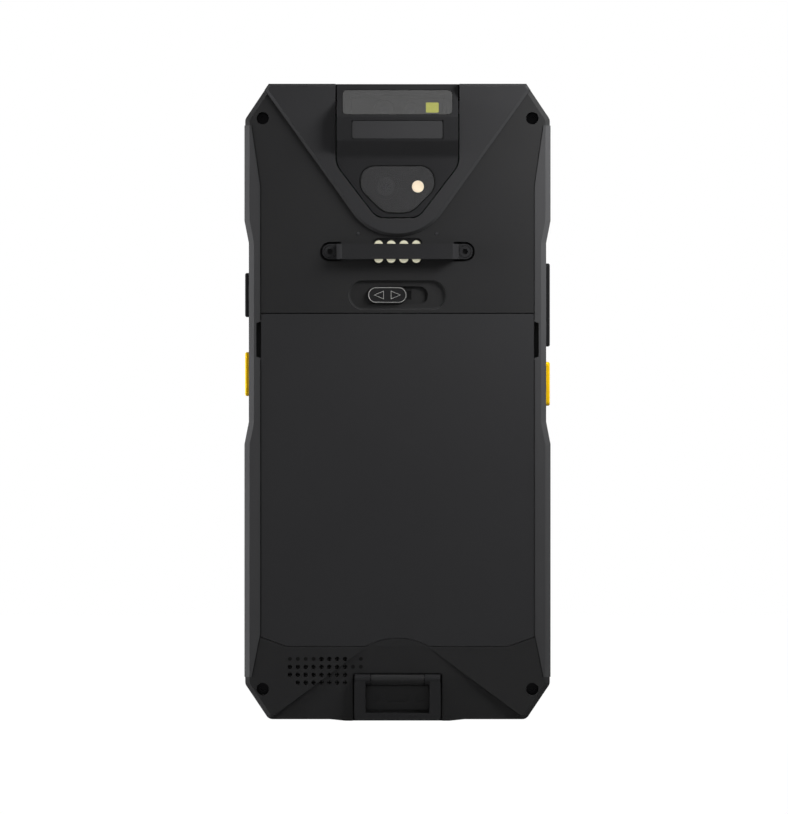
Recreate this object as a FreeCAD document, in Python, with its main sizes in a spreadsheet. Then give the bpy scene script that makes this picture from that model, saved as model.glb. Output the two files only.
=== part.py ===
import FreeCAD, Part
import math
import os
import re
import Sketcher

# Rugged handheld barcode terminal, standing upright on its foot with its back towards -Y.
# X runs across, Y from the back (-) to the display (+), Z up. All sizes are in millimetres.
sizes = {
    # casing outline, seen from the back
    "body_width": 76.2,
    "body_height": 159.3,
    "body_depth": 16.5,
    "nose_rise": 3.5,
    "corner_across": 5.9,
    "corner_up": 8.8,
    "corner_radius": 1.8,
    "side_lift": 0.4,
    "foot_flat": 26.0,
    "foot_ramp": 3.8,
    "waist_inset": 1.1,
    "waist_bottom": 74.8,
    "waist_top": 119.5,
    "waist_ramp": 5.6,
    "back_bevel": 1.1,
    "bezel_depth": 4.0,
    "bezel_round": 0.9,
    # walls
    "back_wall": 1.8,
    "side_wall": 1.6,
    "end_wall": 3.2,
    "floor_thick": 1.2,
    "inner_cut_across": 9.0,
    "inner_cut_up": 13.0,
    # battery and its bay
    "battery_width": 68.2,
    "battery_top": 101.8,
    "battery_bottom": 18.75,
    "battery_corner_across": 6.3,
    "battery_corner_up": 2.3,
    "battery_thick": 6.0,
    "battery_lift": 0.5,
    "battery_wall": 0.9,
    "battery_rail": 2.1,
    "seam": 0.12,
    "bay_wall": 1.8,
    "bay_ceiling": 1.4,
    "chin_apex": 24.3,
    "chin_apex_radius": 15.7,
    "chin_slope": 3.4,
    "chin_line": 35.56,
    # grips
    "grip_top": 148.9,
    "grip_bottom": 11.0,
    "grip_inner_top": 133.6,
    "grip_inner_bottom": 21.8,
    "grip_proud": 0.2,
    "grip_lip": 1.5,
    "grip_end": 1.7,
    "grip_bevel": 1.3,
    "notch_bottom": 90.4,
    "notch_height": 9.8,
    "notch_deep": 1.1,
    # scan head
    "vee_apex": 111.25,
    "vee_apex_radius": 13.7,
    "vee_corner_across": 4.9,
    "vee_rise": 0.9,
    "vee_seat": 0.9,
    "vee_bevel": 0.7,
    "nose_width": 31.0,
    "nose_gap": 0.35,
    "nose_bottom": 125.6,
    "nose_shoulder": 139.0,
    "nose_bottom_half": 5.2,
    "nose_face_bottom": 145.0,
    "nose_ridge": 150.9,
    "window_tilt": 30.0,
    "window_width": 27.6,
    "window_height": 7.4,
    "window_thick": 1.0,
    "window_ledge": 0.8,
    "plate_width": 22.8,
    "plate_height": 4.6,
    "plate_middle": 147.7,
    "plate_thick": 0.5,
    "camera_rise": 0.7,
    "camera_width": 18.6,
    "camera_top": 138.8,
    "camera_height": 11.8,
    "camera_glass": 0.9,
    "camera_lens_x": -3.0,
    "camera_lens_z": 133.6,
    "camera_lens_radius": 2.3,
    "flash_x": 5.1,
    "flash_radius": 1.5,
    "engine_width": 23.0,
    "engine_height": 5.6,
    "engine_deep": 9.0,
    "scan_lens_x": -3.3,
    "scan_lens_radius": 2.55,
    "aimer_lens_x": 3.4,
    "aimer_lens_radius": 2.1,
    "lens_thick": 1.0,
    # strap bar and rear contacts
    "bar_middle": 117.35,
    "bar_height": 3.8,
    "bar_pitch": 33.75,
    "bar_thick": 1.2,
    "bar_bridge": 2.8,
    "bar_end_thick": 1.6,
    "bar_end_deep": 1.2,
    "bar_recess_radius": 2.45,
    "bar_screw_radius": 0.9,
    "contact_pad_width": 12.5,
    "contact_pad_height": 6.8,
    "contact_pad_sink": 0.5,
    "contact_pad_thick": 1.1,
    "contact_pitch": 3.16,
    "contact_row_gap": 3.5,
    "contact_radius": 1.15,
    # battery latch
    "latch_middle": 106.5,
    "latch_dish_width": 24.6,
    "latch_dish_height": 7.4,
    "latch_dish_deep": 0.7,
    "latch_slot_deep": 0.6,
    "latch_knob_length": 9.9,
    "latch_knob_height": 4.2,
    "latch_travel": 5.1,
    "latch_gap": 0.1,
    "latch_neck": 1.6,
    "bolt_thick": 1.2,
    "bolt_hook_width": 4.0,
    "bolt_hook_left": -8.5,
    "bolt_hook_pitch": 9.4,
    "bolt_reach": 1.5,
    # keys on the two sides
    "key_deep": 3.2,
    "key_middle_y": 3.4,
    "key_reach": 38.3,
    "key_thick": 1.85,
    "key_gap": 0.15,
    "key_travel": 0.3,
    "stem_radius": 0.8,
    "left_key_bottom": 101.1,
    "left_key_length": 11.1,
    "left_scan_bottom": 81.25,
    "left_scan_length": 11.05,
    "right_scan_bottom": 78.8,
    "right_scan_length": 11.05,
    "rocker_bottom": 93.7,
    "rocker_length": 20.9,
    # front
    "glass_width": 68.0,
    "glass_bottom": 6.3,
    "glass_height": 146.6,
    "glass_radius": 3.5,
    "glass_thick": 0.8,
    "glass_sink": 0.2,
    "display_width": 63.0,
    "display_height": 128.0,
    "display_thick": 1.4,
    "frame_thick": 1.0,
    "standoff_height": 1.0,
    "board_thick": 1.0,
    # corner screws
    "screw_across": 67.4,
    "screw_low": 8.0,
    "screw_high": 150.7,
    "screw_hole_radius": 1.55,
    "screw_head_radius": 1.45,
    "screw_radius": 0.8,
    "screw_sink": 3.6,
    "screw_head_deep": 1.6,
    # speaker
    "grille_left": -26.9,
    "grille_bottom": 9.6,
    "grille_pitch": 1.97,
    "grille_radius": 0.55,
    "grille_columns": 8,
    "grille_rows": 4,
    "mesh_thick": 0.2,
    "speaker_thick": 3.0,
    # strap loop at the bottom
    "loop_axis_z": 10.35,
    "loop_axis_out": 0.1,
    "loop_half": 10.8,
    "loop_arm": 2.8,
    "loop_bar": 1.8,
    "loop_thick": 2.2,
    "loop_eye_radius": 1.35,
    "loop_recess_deep": 2.2,
    "loop_gap": 0.2,
    "barrel_radius": 1.25,
    "barrel_half": 6.6,
    "pin_radius": 0.6,
    "pin_running_gap": 0.05,
}

document = FreeCAD.newDocument("DataTerminal")
sheet = document.addObject("Spreadsheet::Sheet", "Sizes")
for row, (alias, number) in enumerate(sizes.items(), start=1):
    sheet.set(f"A{row}", alias)
    sheet.set(f"B{row}", str(number))
    sheet.setAlias(f"B{row}", alias)
document.recompute()

vector = FreeCAD.Vector
nodes = {}


def full(expression):
    def linked(match):
        word = match.group(0)
        return "Sizes." + word if word in sizes else word
    return re.sub(r"[a-z_]\w*", linked, str(expression))


def value(expression):
    result = sheet.evalExpression(full(expression))
    return float(getattr(result, "Value", result))


def bind(item, name, expression):
    item.setExpression(name, full(expression))


# Levels along Y, each worked out from the sheet.
half_width = "(body_width / 2)"
front = "((body_depth + nose_rise) / 2)"
back = "((nose_rise - body_depth) / 2)"
nose_out = "(-(body_depth + nose_rise) / 2)"
parting = f"({front} - bezel_depth)"
glass_front = f"({front} - glass_sink)"
glass_back = f"({glass_front} - glass_thick)"
display_back = f"({glass_back} - display_thick)"
frame_back = f"({display_back} - frame_thick)"
board_front = f"({frame_back} - standoff_height)"
board_back = f"({board_front} - board_thick)"
back_inside = f"({back} + back_wall)"
bay_floor = f"({back} + battery_thick + battery_lift)"
bay_floor_inside = f"({bay_floor} + floor_thick)"
lip_inside = f"({back} + grip_lip)"
vee_out = f"({back} - vee_rise)"
vee_inside = f"({back} + vee_seat)"
camera_face = f"({back} - camera_rise)"
pad_face = f"({back} + contact_pad_sink)"
dish_floor = f"({back} + latch_dish_deep)"
slot_floor = f"({dish_floor} + latch_slot_deep)"
recess_floor = f"({back} + loop_recess_deep)"
loop_axis_y = f"({back} + loop_axis_out)"

# Levels across and up.
bay_half = "(battery_width / 2 + seam)"
core_half = f"({bay_half} + bay_wall)"
cavity_half = f"({core_half} - side_wall)"
bay_top = "(battery_top + 2 * seam)"
head_bottom = f"({bay_top} + bay_ceiling)"
cavity_top = "(body_height - end_wall)"
latch_neck_x = "(-latch_travel / 2)"
stem_reach = f"({cavity_half} + 0.35)"
nose_half = "(nose_width / 2 - nose_gap)"

plane_roles = {"x": "YZ_Plane", "y": "XZ_Plane", "z": "XY_Plane"}


def new_body(name):
    return document.addObject("PartDesign::Body", name)


def new_sketch(body, name, facing, level):
    role = plane_roles[facing]
    plane = [item for item in body.Origin.OriginFeatures if item.Role == role][0]
    sketch = body.newObject("Sketcher::SketchObject", name)
    sketch.AttachmentSupport = [(plane, "")]
    sketch.MapMode = "FlatFace"
    shift = f"-({level})" if facing == "y" else level
    bind(sketch, "AttachmentOffset.Base.z", shift)
    return sketch


# Gathers a sketch's constraints, adds them in one go and ties the sizes to the sheet.
class Rules:
    def __init__(self, sketch):
        self.sketch = sketch
        self.constraints = []
        self.links = []

    def add(self, *terms):
        self.constraints.append(Sketcher.Constraint(*terms))

    def size(self, expression, *terms):
        self.links.append((len(self.constraints), expression))
        self.add(*terms, value(expression))

    def place(self, shape, end, across, up):
        self.size(across, "DistanceX", -1, 1, shape, end)
        self.size(up, "DistanceY", -1, 1, shape, end)

    def apply(self):
        self.sketch.addConstraint(self.constraints)
        for index, expression in self.links:
            bind(self.sketch, f"Constraints[{index}]", expression)


# A closed outline through corners (across, up) or, where a corner is rounded, (across, up, radius).
def outline(body, name, facing, level, corners):
    sketch = new_sketch(body, name, facing, level)
    rules = Rules(sketch)
    count = len(corners)
    points = [vector(value(corner[0]), value(corner[1]), 0) for corner in corners]
    radii = [value(corner[2]) if len(corner) > 2 else 0.0 for corner in corners]
    entries = list(points)
    exits = list(points)
    centres = list(points)
    turns = [False] * count
    for index in range(count):
        if radii[index] == 0:
            continue
        before = (points[index - 1] - points[index]).normalize()
        after = (points[(index + 1) % count] - points[index]).normalize()
        half_angle = before.getAngle(after) / 2
        entries[index] = points[index] + before * (radii[index] / math.tan(half_angle))
        exits[index] = points[index] + after * (radii[index] / math.tan(half_angle))
        middle = (before + after).normalize()
        centres[index] = points[index] + middle * (radii[index] / math.sin(half_angle))
        turns[index] = before.cross(after).z < 0
    sketch.addGeometry([
        Part.LineSegment(exits[index], entries[(index + 1) % count]) for index in range(count)])
    for index in range(count):
        line_in = (index - 1) % count
        line_out = index
        if radii[index] == 0:
            rules.add("Coincident", line_in, 2, line_out, 1)
            rules.place(line_out, 1, corners[index][0], corners[index][1])
            continue
        first, last = (1, 2) if turns[index] else (2, 1)
        start = (entries if turns[index] else exits)[index] - centres[index]
        stop = (exits if turns[index] else entries)[index] - centres[index]
        circle = Part.Circle(centres[index], vector(0, 0, 1), radii[index])
        arc = sketch.addGeometry(Part.ArcOfCircle(
            circle, math.atan2(start.y, start.x), math.atan2(stop.y, stop.x)))
        corner = sketch.addGeometry(Part.Point(points[index]), True)
        rules.add("Tangent", line_in, 2, arc, first)
        rules.add("Tangent", line_out, 1, arc, last)
        rules.size(corners[index][2], "Radius", arc)
        rules.add("PointOnObject", corner, 1, line_in)
        rules.add("PointOnObject", corner, 1, line_out)
        rules.place(corner, 1, corners[index][0], corners[index][1])
    rules.apply()
    return sketch


def circles(body, name, facing, level, places):
    sketch = new_sketch(body, name, facing, level)
    rules = Rules(sketch)
    for across, up, radius in places:
        centre = vector(value(across), value(up), 0)
        ring = sketch.addGeometry(Part.Circle(centre, vector(0, 0, 1), value(radius)))
        rules.place(ring, 3, across, up)
        rules.size(radius, "Radius", ring)
    rules.apply()
    return sketch


def rectangle(left, right, bottom, top, radius=None):
    corners = [(left, bottom), (right, bottom), (right, top), (left, top)]
    if radius is None:
        return corners
    return [corner + (radius,) for corner in corners]


def mirrored(corners):
    left = [(f"-({corner[0]})",) + tuple(corner[1:]) for corner in reversed(corners)]
    return list(corners) + left


def checked(body, feature):
    shape = body.Shape
    if shape.isNull() or len(shape.Solids) != 1:
        raise ValueError(f"{feature.Name} leaves no single solid")
    if "Invalid" in feature.State or "Error" in feature.State:
        raise ValueError(f"{feature.Name} did not build")


# Adds material from the sketch: towards -Y from a facing-y sketch, +X or +Z from the others.
def pad(body, sketch, length, backwards=False):
    feature = body.newObject("PartDesign::Pad", sketch.Name + "Pad")
    feature.Profile = sketch
    feature.Reversed = backwards
    bind(feature, "Length", length)
    document.recompute()
    checked(body, feature)
    return feature


# Removes material: towards +Y from a facing-y sketch, -X or -Z from the others.
def pocket(body, sketch, length, backwards=False):
    before = body.Shape.Volume
    feature = body.newObject("PartDesign::Pocket", sketch.Name + "Pocket")
    feature.Profile = sketch
    feature.Reversed = backwards
    bind(feature, "Length", length)
    document.recompute()
    if not body.Shape.Volume < before:
        raise ValueError(f"{feature.Name} removes nothing")
    checked(body, feature)
    return feature


def edges_where(shape, test):
    return [f"Edge{index}" for index, edge in enumerate(shape.Edges, start=1) if test(edge)]


def treat_edges(body, kind, name, size, test):
    base = body.Tip
    feature = body.newObject(f"PartDesign::{kind}", name)
    feature.Base = (base, edges_where(base.Shape, test))
    bind(feature, "Radius" if kind == "Fillet" else "Size", size)
    document.recompute()
    checked(body, feature)
    return feature


def at_level(edge, axis, level):
    return all(abs(getattr(vertex.Point, axis) - level) < 1e-4 for vertex in edge.Vertexes)


def box(name, left, right, rear, fore, bottom, top):
    block = document.addObject("Part::Box", name)
    bind(block, "Length", f"({right}) - ({left})")
    bind(block, "Width", f"({fore}) - ({rear})")
    bind(block, "Height", f"({top}) - ({bottom})")
    bind(block, "Placement.Base.x", left)
    bind(block, "Placement.Base.y", rear)
    bind(block, "Placement.Base.z", bottom)
    return block


turned = {
    "x": FreeCAD.Rotation(vector(0, 1, 0), 90),
    "y": FreeCAD.Rotation(vector(1, 0, 0), -90),
    "z": FreeCAD.Rotation(),
}


def rod(name, axis, across, deep, up, radius, length):
    cylinder = document.addObject("Part::Cylinder", name)
    cylinder.Placement.Rotation = turned[axis]
    bind(cylinder, "Radius", radius)
    bind(cylinder, "Height", length)
    bind(cylinder, "Placement.Base.x", across)
    bind(cylinder, "Placement.Base.y", deep)
    bind(cylinder, "Placement.Base.z", up)
    return cylinder


def cut(name, base, tool):
    result = document.addObject("Part::Cut", name)
    result.Base = base
    result.Tool = tool
    return result


def fuse(name, pieces):
    result = document.addObject("Part::MultiFuse", name)
    result.Shapes = pieces
    result.Refine = True
    return result


def common(name, pieces):
    result = document.addObject("Part::MultiCommon", name)
    result.Shapes = pieces
    result.Refine = True
    return result


def group(name, pieces):
    result = document.addObject("Part::Compound", name)
    result.Links = pieces
    return result


def keep(node, item):
    item.Label = node
    nodes[node] = item


def casing_corners(round_off):
    right = [
        ("foot_flat / 2", "0"),
        ("foot_flat / 2 + foot_ramp", "side_lift"),
        (f"{half_width} - corner_across", "side_lift", round_off),
        (half_width, "side_lift + corner_up", round_off),
        (half_width, "waist_bottom - waist_ramp"),
        (f"{half_width} - waist_inset", "waist_bottom"),
        (f"{half_width} - waist_inset", "waist_top"),
        (half_width, "waist_top + waist_ramp"),
        (half_width, "body_height - corner_up", round_off),
        (f"{half_width} - corner_across", "body_height", round_off),
    ]
    return mirrored(right)


def inner_corners(half, bottom, top):
    right = [
        (f"{half} - inner_cut_across", bottom),
        (half, f"{bottom} + inner_cut_up"),
        (half, f"{top} - inner_cut_up"),
        (f"{half} - inner_cut_across", top),
    ]
    return mirrored(right)


# The battery's lower edge runs level and climbs at the two corners; the chin's crest rises into it.
def battery_corners(half, bottom, top):
    right = [
        (f"{half} - battery_corner_across", bottom),
        (half, f"{bottom} + battery_corner_up"),
        (half, top),
    ]
    return mirrored(right)


def crest_corners(clear):
    foot = "(battery_bottom - 9)"
    foot_half = f"((chin_apex - {foot}) / tan(chin_line))"
    return [
        (f"-{foot_half}", f"{foot} + {clear}"),
        (foot_half, f"{foot} + {clear}"),
        ("0", f"chin_apex + {clear}", f"chin_apex_radius + {clear}"),
    ]


def grip_corners(inner_half, drop):
    return [
        (inner_half, f"grip_inner_bottom + {drop}"),
        (f"{half_width} - grip_end", "grip_bottom"),
        (f"{half_width} + grip_proud", "grip_bottom"),
        (f"{half_width} + grip_proud", "waist_bottom - waist_ramp"),
        (f"{half_width} + grip_proud - waist_inset", "waist_bottom"),
        (f"{half_width} + grip_proud - waist_inset", "waist_top"),
        (f"{half_width} + grip_proud", "waist_top + waist_ramp"),
        (f"{half_width} + grip_proud", "grip_top"),
        (f"{half_width} - grip_end", "grip_top"),
        (inner_half, f"grip_inner_top - {drop}"),
    ]


def vee_corners():
    slope_top = "(body_height - corner_up * (corner_across - vee_corner_across) / corner_across)"
    right = [
        (f"{half_width} - vee_corner_across", slope_top),
        (f"{half_width} - corner_across", "body_height"),
    ]
    return right + mirrored(right)[2:] + [("0", "vee_apex", "vee_apex_radius")]


def nose_corners(half, drop):
    right = [
        ("nose_bottom_half", f"nose_bottom + {drop}", "4"),
        (half, "nose_shoulder", "5"),
        (half, "body_height"),
    ]
    return mirrored(right)


def nose_hole_corners():
    corners = nose_corners("(nose_width / 2)", "0")
    return [(corner[0], "(body_height + 1)") if corner[1] == "body_height" else corner
            for corner in corners]


def camera_corners(clear):
    right = [
        ("3.4", f"camera_top - camera_height - {clear}", "5"),
        (f"camera_width / 2 + {clear}", f"camera_top - camera_height / 2", "4"),
        (f"camera_width / 2 + {clear}", f"camera_top + {clear}", "3.6"),
    ]
    return mirrored(right)


def pill(left, right, middle, height):
    return rectangle(left, right, f"{middle} - {height} / 2", f"{middle} + {height} / 2",
                     f"{height} / 2 - 0.02")


def key_corners(bottom, length, clear):
    return rectangle(f"key_middle_y - key_deep / 2 - {clear}", f"key_middle_y + key_deep / 2 + {clear}",
                     f"{bottom} - {clear}", f"{bottom} + {length} + {clear}", "0.9")


keys = {
    "left_key": (-1, "left_key_bottom", "left_key_length", (0.5,)),
    "left_scan_key": (-1, "left_scan_bottom", "left_scan_length", (0.5,)),
    "right_scan_key": (1, "right_scan_bottom", "right_scan_length", (0.5,)),
    "right_rocker": (1, "rocker_bottom", "rocker_length", (0.2, 0.8)),
}


def make_rear_housing():
    body = new_body("RearCasing")
    pad(body, outline(body, "Casing", "y", parting, casing_corners("corner_radius")),
        f"{parting} - {back}")
    rear = value(back)
    treat_edges(body, "Chamfer", "BackBevel", "back_bevel", lambda edge: at_level(edge, "y", rear))
    cavity = inner_corners(cavity_half, "end_wall", cavity_top)
    pocket(body, outline(body, "Cavity", "y", parting, cavity),
           f"{parting} - {bay_floor_inside}", backwards=True)
    head = mirrored([
        (f"{cavity_half} - 2", head_bottom),
        (f"{cavity_half} - 2", f"{cavity_top} - inner_cut_up"),
        (f"{cavity_half} - inner_cut_across", cavity_top),
    ])
    pocket(body, outline(body, "Head", "y", bay_floor_inside, head),
           f"{bay_floor_inside} - {back_inside}", backwards=True)
    for side in (-1, 1):
        name = "Left" if side < 0 else "Right"
        boss = circles(body, f"{name}Boss", "y", back_inside, [
            (f"{side} * bar_pitch / 2", "bar_middle", "bar_recess_radius + 0.6")])
        pad(body, boss, "3.2", backwards=True)
    bay = battery_corners(bay_half, "(battery_bottom - seam)", bay_top)
    pocket(body, outline(body, "Bay", "y", back, bay), f"{bay_floor} - {back}")
    pad(body, outline(body, "Crest", "y", bay_floor, crest_corners("0")), f"{bay_floor} - {back}")
    return body


def cut_grip_seats(body):
    for side, name in ((1, "Right"), (-1, "Left")):
        lip = [(f"{side} * ({corner[0]} + ({corner[0]} > {half_width} - 1 ? 1 : 0))",) + corner[1:]
               for corner in grip_corners(bay_half, "0")]
        wall = [(f"{side} * ({corner[0]} + ({corner[0]} > {half_width} - 1 ? 1 : 0))",) + corner[1:]
                for corner in grip_corners(core_half, "6")]
        pocket(body, outline(body, f"{name}LipSeat", "y", back, lip), "grip_lip")
        pocket(body, outline(body, f"{name}WallSeat", "y", back, wall), f"{parting} - {back}")


def cut_scan_head_seat(body):
    pocket(body, outline(body, "VeeSeat", "y", back, vee_corners()), "vee_seat")
    pocket(body, outline(body, "NoseOpening", "y", back, nose_hole_corners()), "back_wall")


def cut_bar_and_contacts(body):
    for side in (-1, 1):
        name = "Left" if side < 0 else "Right"
        middle = f"{side} * bar_pitch / 2"
        well = [
            (f"{middle} - {side} * (bar_recess_radius + 0.3)", "bar_middle - bar_recess_radius"),
            (f"{middle} + {side} * bar_recess_radius", "bar_middle - bar_recess_radius",
             "bar_recess_radius - 0.02"),
            (f"{middle} + {side} * bar_recess_radius", "bar_middle + bar_recess_radius",
             "bar_recess_radius - 0.02"),
            (f"{middle} - {side} * (bar_recess_radius + 0.3)", "bar_middle + bar_recess_radius"),
        ]
        pocket(body, outline(body, f"{name}BarWell", "y", back, well), "bar_end_deep")
        pocket(body, circles(body, f"{name}BarHole", "y", back, [
            (middle, "bar_middle", "bar_screw_radius + 0.02")]), "4.4")
    well = rectangle("-contact_pad_width / 2", "contact_pad_width / 2",
                     "bar_middle - contact_pad_height / 2", "bar_middle + contact_pad_height / 2", "1.4")
    pocket(body, outline(body, "ContactWell", "y", back, well), "contact_pad_sink + contact_pad_thick")


def cut_latch(body):
    dish = pill("-latch_dish_width / 2", "latch_dish_width / 2", "latch_middle", "latch_dish_height")
    pocket(body, outline(body, "LatchDish", "y", back, dish), "latch_dish_deep")
    floor_level = value(dish_floor)
    treat_edges(body, "Fillet", "DishRound", "latch_dish_deep * 0.9",
                lambda edge: at_level(edge, "y", floor_level))
    slot = pill("-(latch_knob_length + latch_travel) / 2 - latch_gap",
                "(latch_knob_length + latch_travel) / 2 + latch_gap", "latch_middle",
                "(latch_knob_height + 2 * latch_gap)")
    pocket(body, outline(body, "LatchSlot", "y", dish_floor, slot), "latch_slot_deep")
    neck = rectangle(f"{latch_neck_x} - latch_neck / 2 - latch_gap",
                     f"{latch_neck_x} + latch_travel + latch_neck / 2 + latch_gap",
                     "latch_middle - 1 - latch_gap", "latch_middle + 1 + latch_gap")
    pocket(body, outline(body, "NeckSlot", "y", slot_floor, neck), "back_wall")
    hook_slot = rectangle("bolt_hook_left - 0.2",
                          "bolt_hook_left + bolt_hook_pitch + bolt_hook_width + latch_travel + 0.2",
                          f"{back_inside} - 0.1", f"{back_inside} + bolt_thick + 0.3")
    pocket(body, outline(body, "HookSlot", "z", f"{head_bottom} + 0.1", hook_slot), "bay_ceiling + 0.2")


def cut_bottom(body):
    recess = rectangle("-loop_half - 2 * loop_gap", "loop_half + 2 * loop_gap", "-1",
                       "loop_axis_z + loop_eye_radius + loop_gap", "0.6")
    pocket(body, outline(body, "LoopRecess", "y", back, recess), "loop_recess_deep")
    chamber = rectangle("grille_left - 1.2", "-loop_half - 1.4", "grille_bottom - 1.6",
                        "grille_bottom + 6.8")
    pocket(body, outline(body, "SpeakerChamber", "y", bay_floor_inside, chamber),
           f"{bay_floor_inside} - {back_inside}", backwards=True)
    port_room = rectangle("-6.5", "6.5", "end_wall", "battery_bottom - 2", "0.8")
    pocket(body, outline(body, "PortRoom", "y", bay_floor_inside, port_room),
           f"{bay_floor_inside} - {recess_floor} - 1.4", backwards=True)
    port = pill("-4.6", "4.6", f"({board_back} - 1.65)", "3.5")
    pocket(body, outline(body, "Port", "z", "end_wall + 0.2", port), "end_wall + 0.4")
    guide = rectangle("-8", "8", "loop_bar + 0.8", "loop_axis_z - 1.6", "0.8")
    pocket(body, outline(body, "GuideSeat", "y", recess_floor, guide), "0.7")
    for side in (-1, 1):
        name = "Left" if side < 0 else "Right"
        tab = rectangle(f"{side} * 20 - 3.3", f"{side} * 20 + 3.3", f"{back} + 1.7", f"{back} + 3.8")
        pocket(body, outline(body, f"{name}TabSlot", "z", "battery_bottom", tab), "1.6")


# The crease takes the first holes of the top row and the corner takes the first of the bottom row.
def cut_grille(body):
    first_columns = (1, 0, 0, 4)
    places = []
    for row in range(sizes["grille_rows"]):
        for column in range(first_columns[row], sizes["grille_columns"]):
            places.append((f"grille_left + grille_pitch * {column}", f"grille_bottom + grille_pitch * {row}",
                           "grille_radius"))
    pocket(body, circles(body, "GrilleHoles", "y", back, places), "back_wall + 0.2")


def cut_screw_and_key_holes(body):
    places = [(f"{side} * screw_across / 2", height) for side in (-1, 1)
              for height in ("screw_low", "screw_high")]
    wide = circles(body, "ScrewHeads", "y", back, [place + ("screw_hole_radius",) for place in places])
    pocket(body, wide, "screw_sink + screw_head_deep")
    narrow = circles(body, "ScrewShanks", "y", back, [place + ("screw_radius + 0.1",) for place in places])
    pocket(body, narrow, f"{parting} - {back}")
    for node, (side, bottom, length, stems) in keys.items():
        holes = [("key_middle_y", f"{bottom} + {length} * {share}", "stem_radius + 0.12") for share in stems]
        sketch = circles(body, f"{node}_holes", "x", f"{side} * {core_half}", holes)
        pocket(body, sketch, "bay_wall + 0.5", backwards=side < 0)


# The chin falls away towards the bottom edge between two diagonal creases.
def cut_chin(body):
    corners = [
        (f"-{half_width} + 5.4", "-battery_bottom"),
        (f"{half_width} - 5.4", "-battery_bottom"),
        ("0", "chin_apex - battery_bottom", "chin_apex_radius"),
    ]
    sketch = outline(body, "ChinFace", "y", back, corners)
    tilt = FreeCAD.Rotation(vector(1, 0, 0), value("chin_slope"))
    sketch.AttachmentOffset = FreeCAD.Placement(sketch.AttachmentOffset.Base, tilt)
    bind(sketch, "AttachmentOffset.Base.y", "battery_bottom")
    bind(sketch, "AttachmentOffset.Base.z", f"-({back})")
    pocket(body, sketch, "4", backwards=True)


def make_casing():
    body = make_rear_housing()
    cut_chin(body)
    cut_grip_seats(body)
    cut_scan_head_seat(body)
    cut_bar_and_contacts(body)
    cut_latch(body)
    cut_bottom(body)
    cut_screw_and_key_holes(body)
    cut_grille(body)
    web = rectangle(loop_axis_y, f"{recess_floor} + 0.2", "loop_axis_z - barrel_radius * 0.8",
                    "loop_axis_z + barrel_radius * 0.8")
    pad(body, outline(body, "BarrelWeb", "x", "-barrel_half", web), "2 * barrel_half")
    barrel = circles(body, "Barrel", "x", "-barrel_half", [(loop_axis_y, "loop_axis_z", "barrel_radius")])
    pad(body, barrel, "2 * barrel_half")
    bore = circles(body, "BarrelBore", "x", "-barrel_half - 0.1", [
        (loop_axis_y, "loop_axis_z", "pin_radius + pin_running_gap")])
    pocket(body, bore, "2 * barrel_half + 0.2", backwards=True)
    keep("rear_housing", body)


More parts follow.
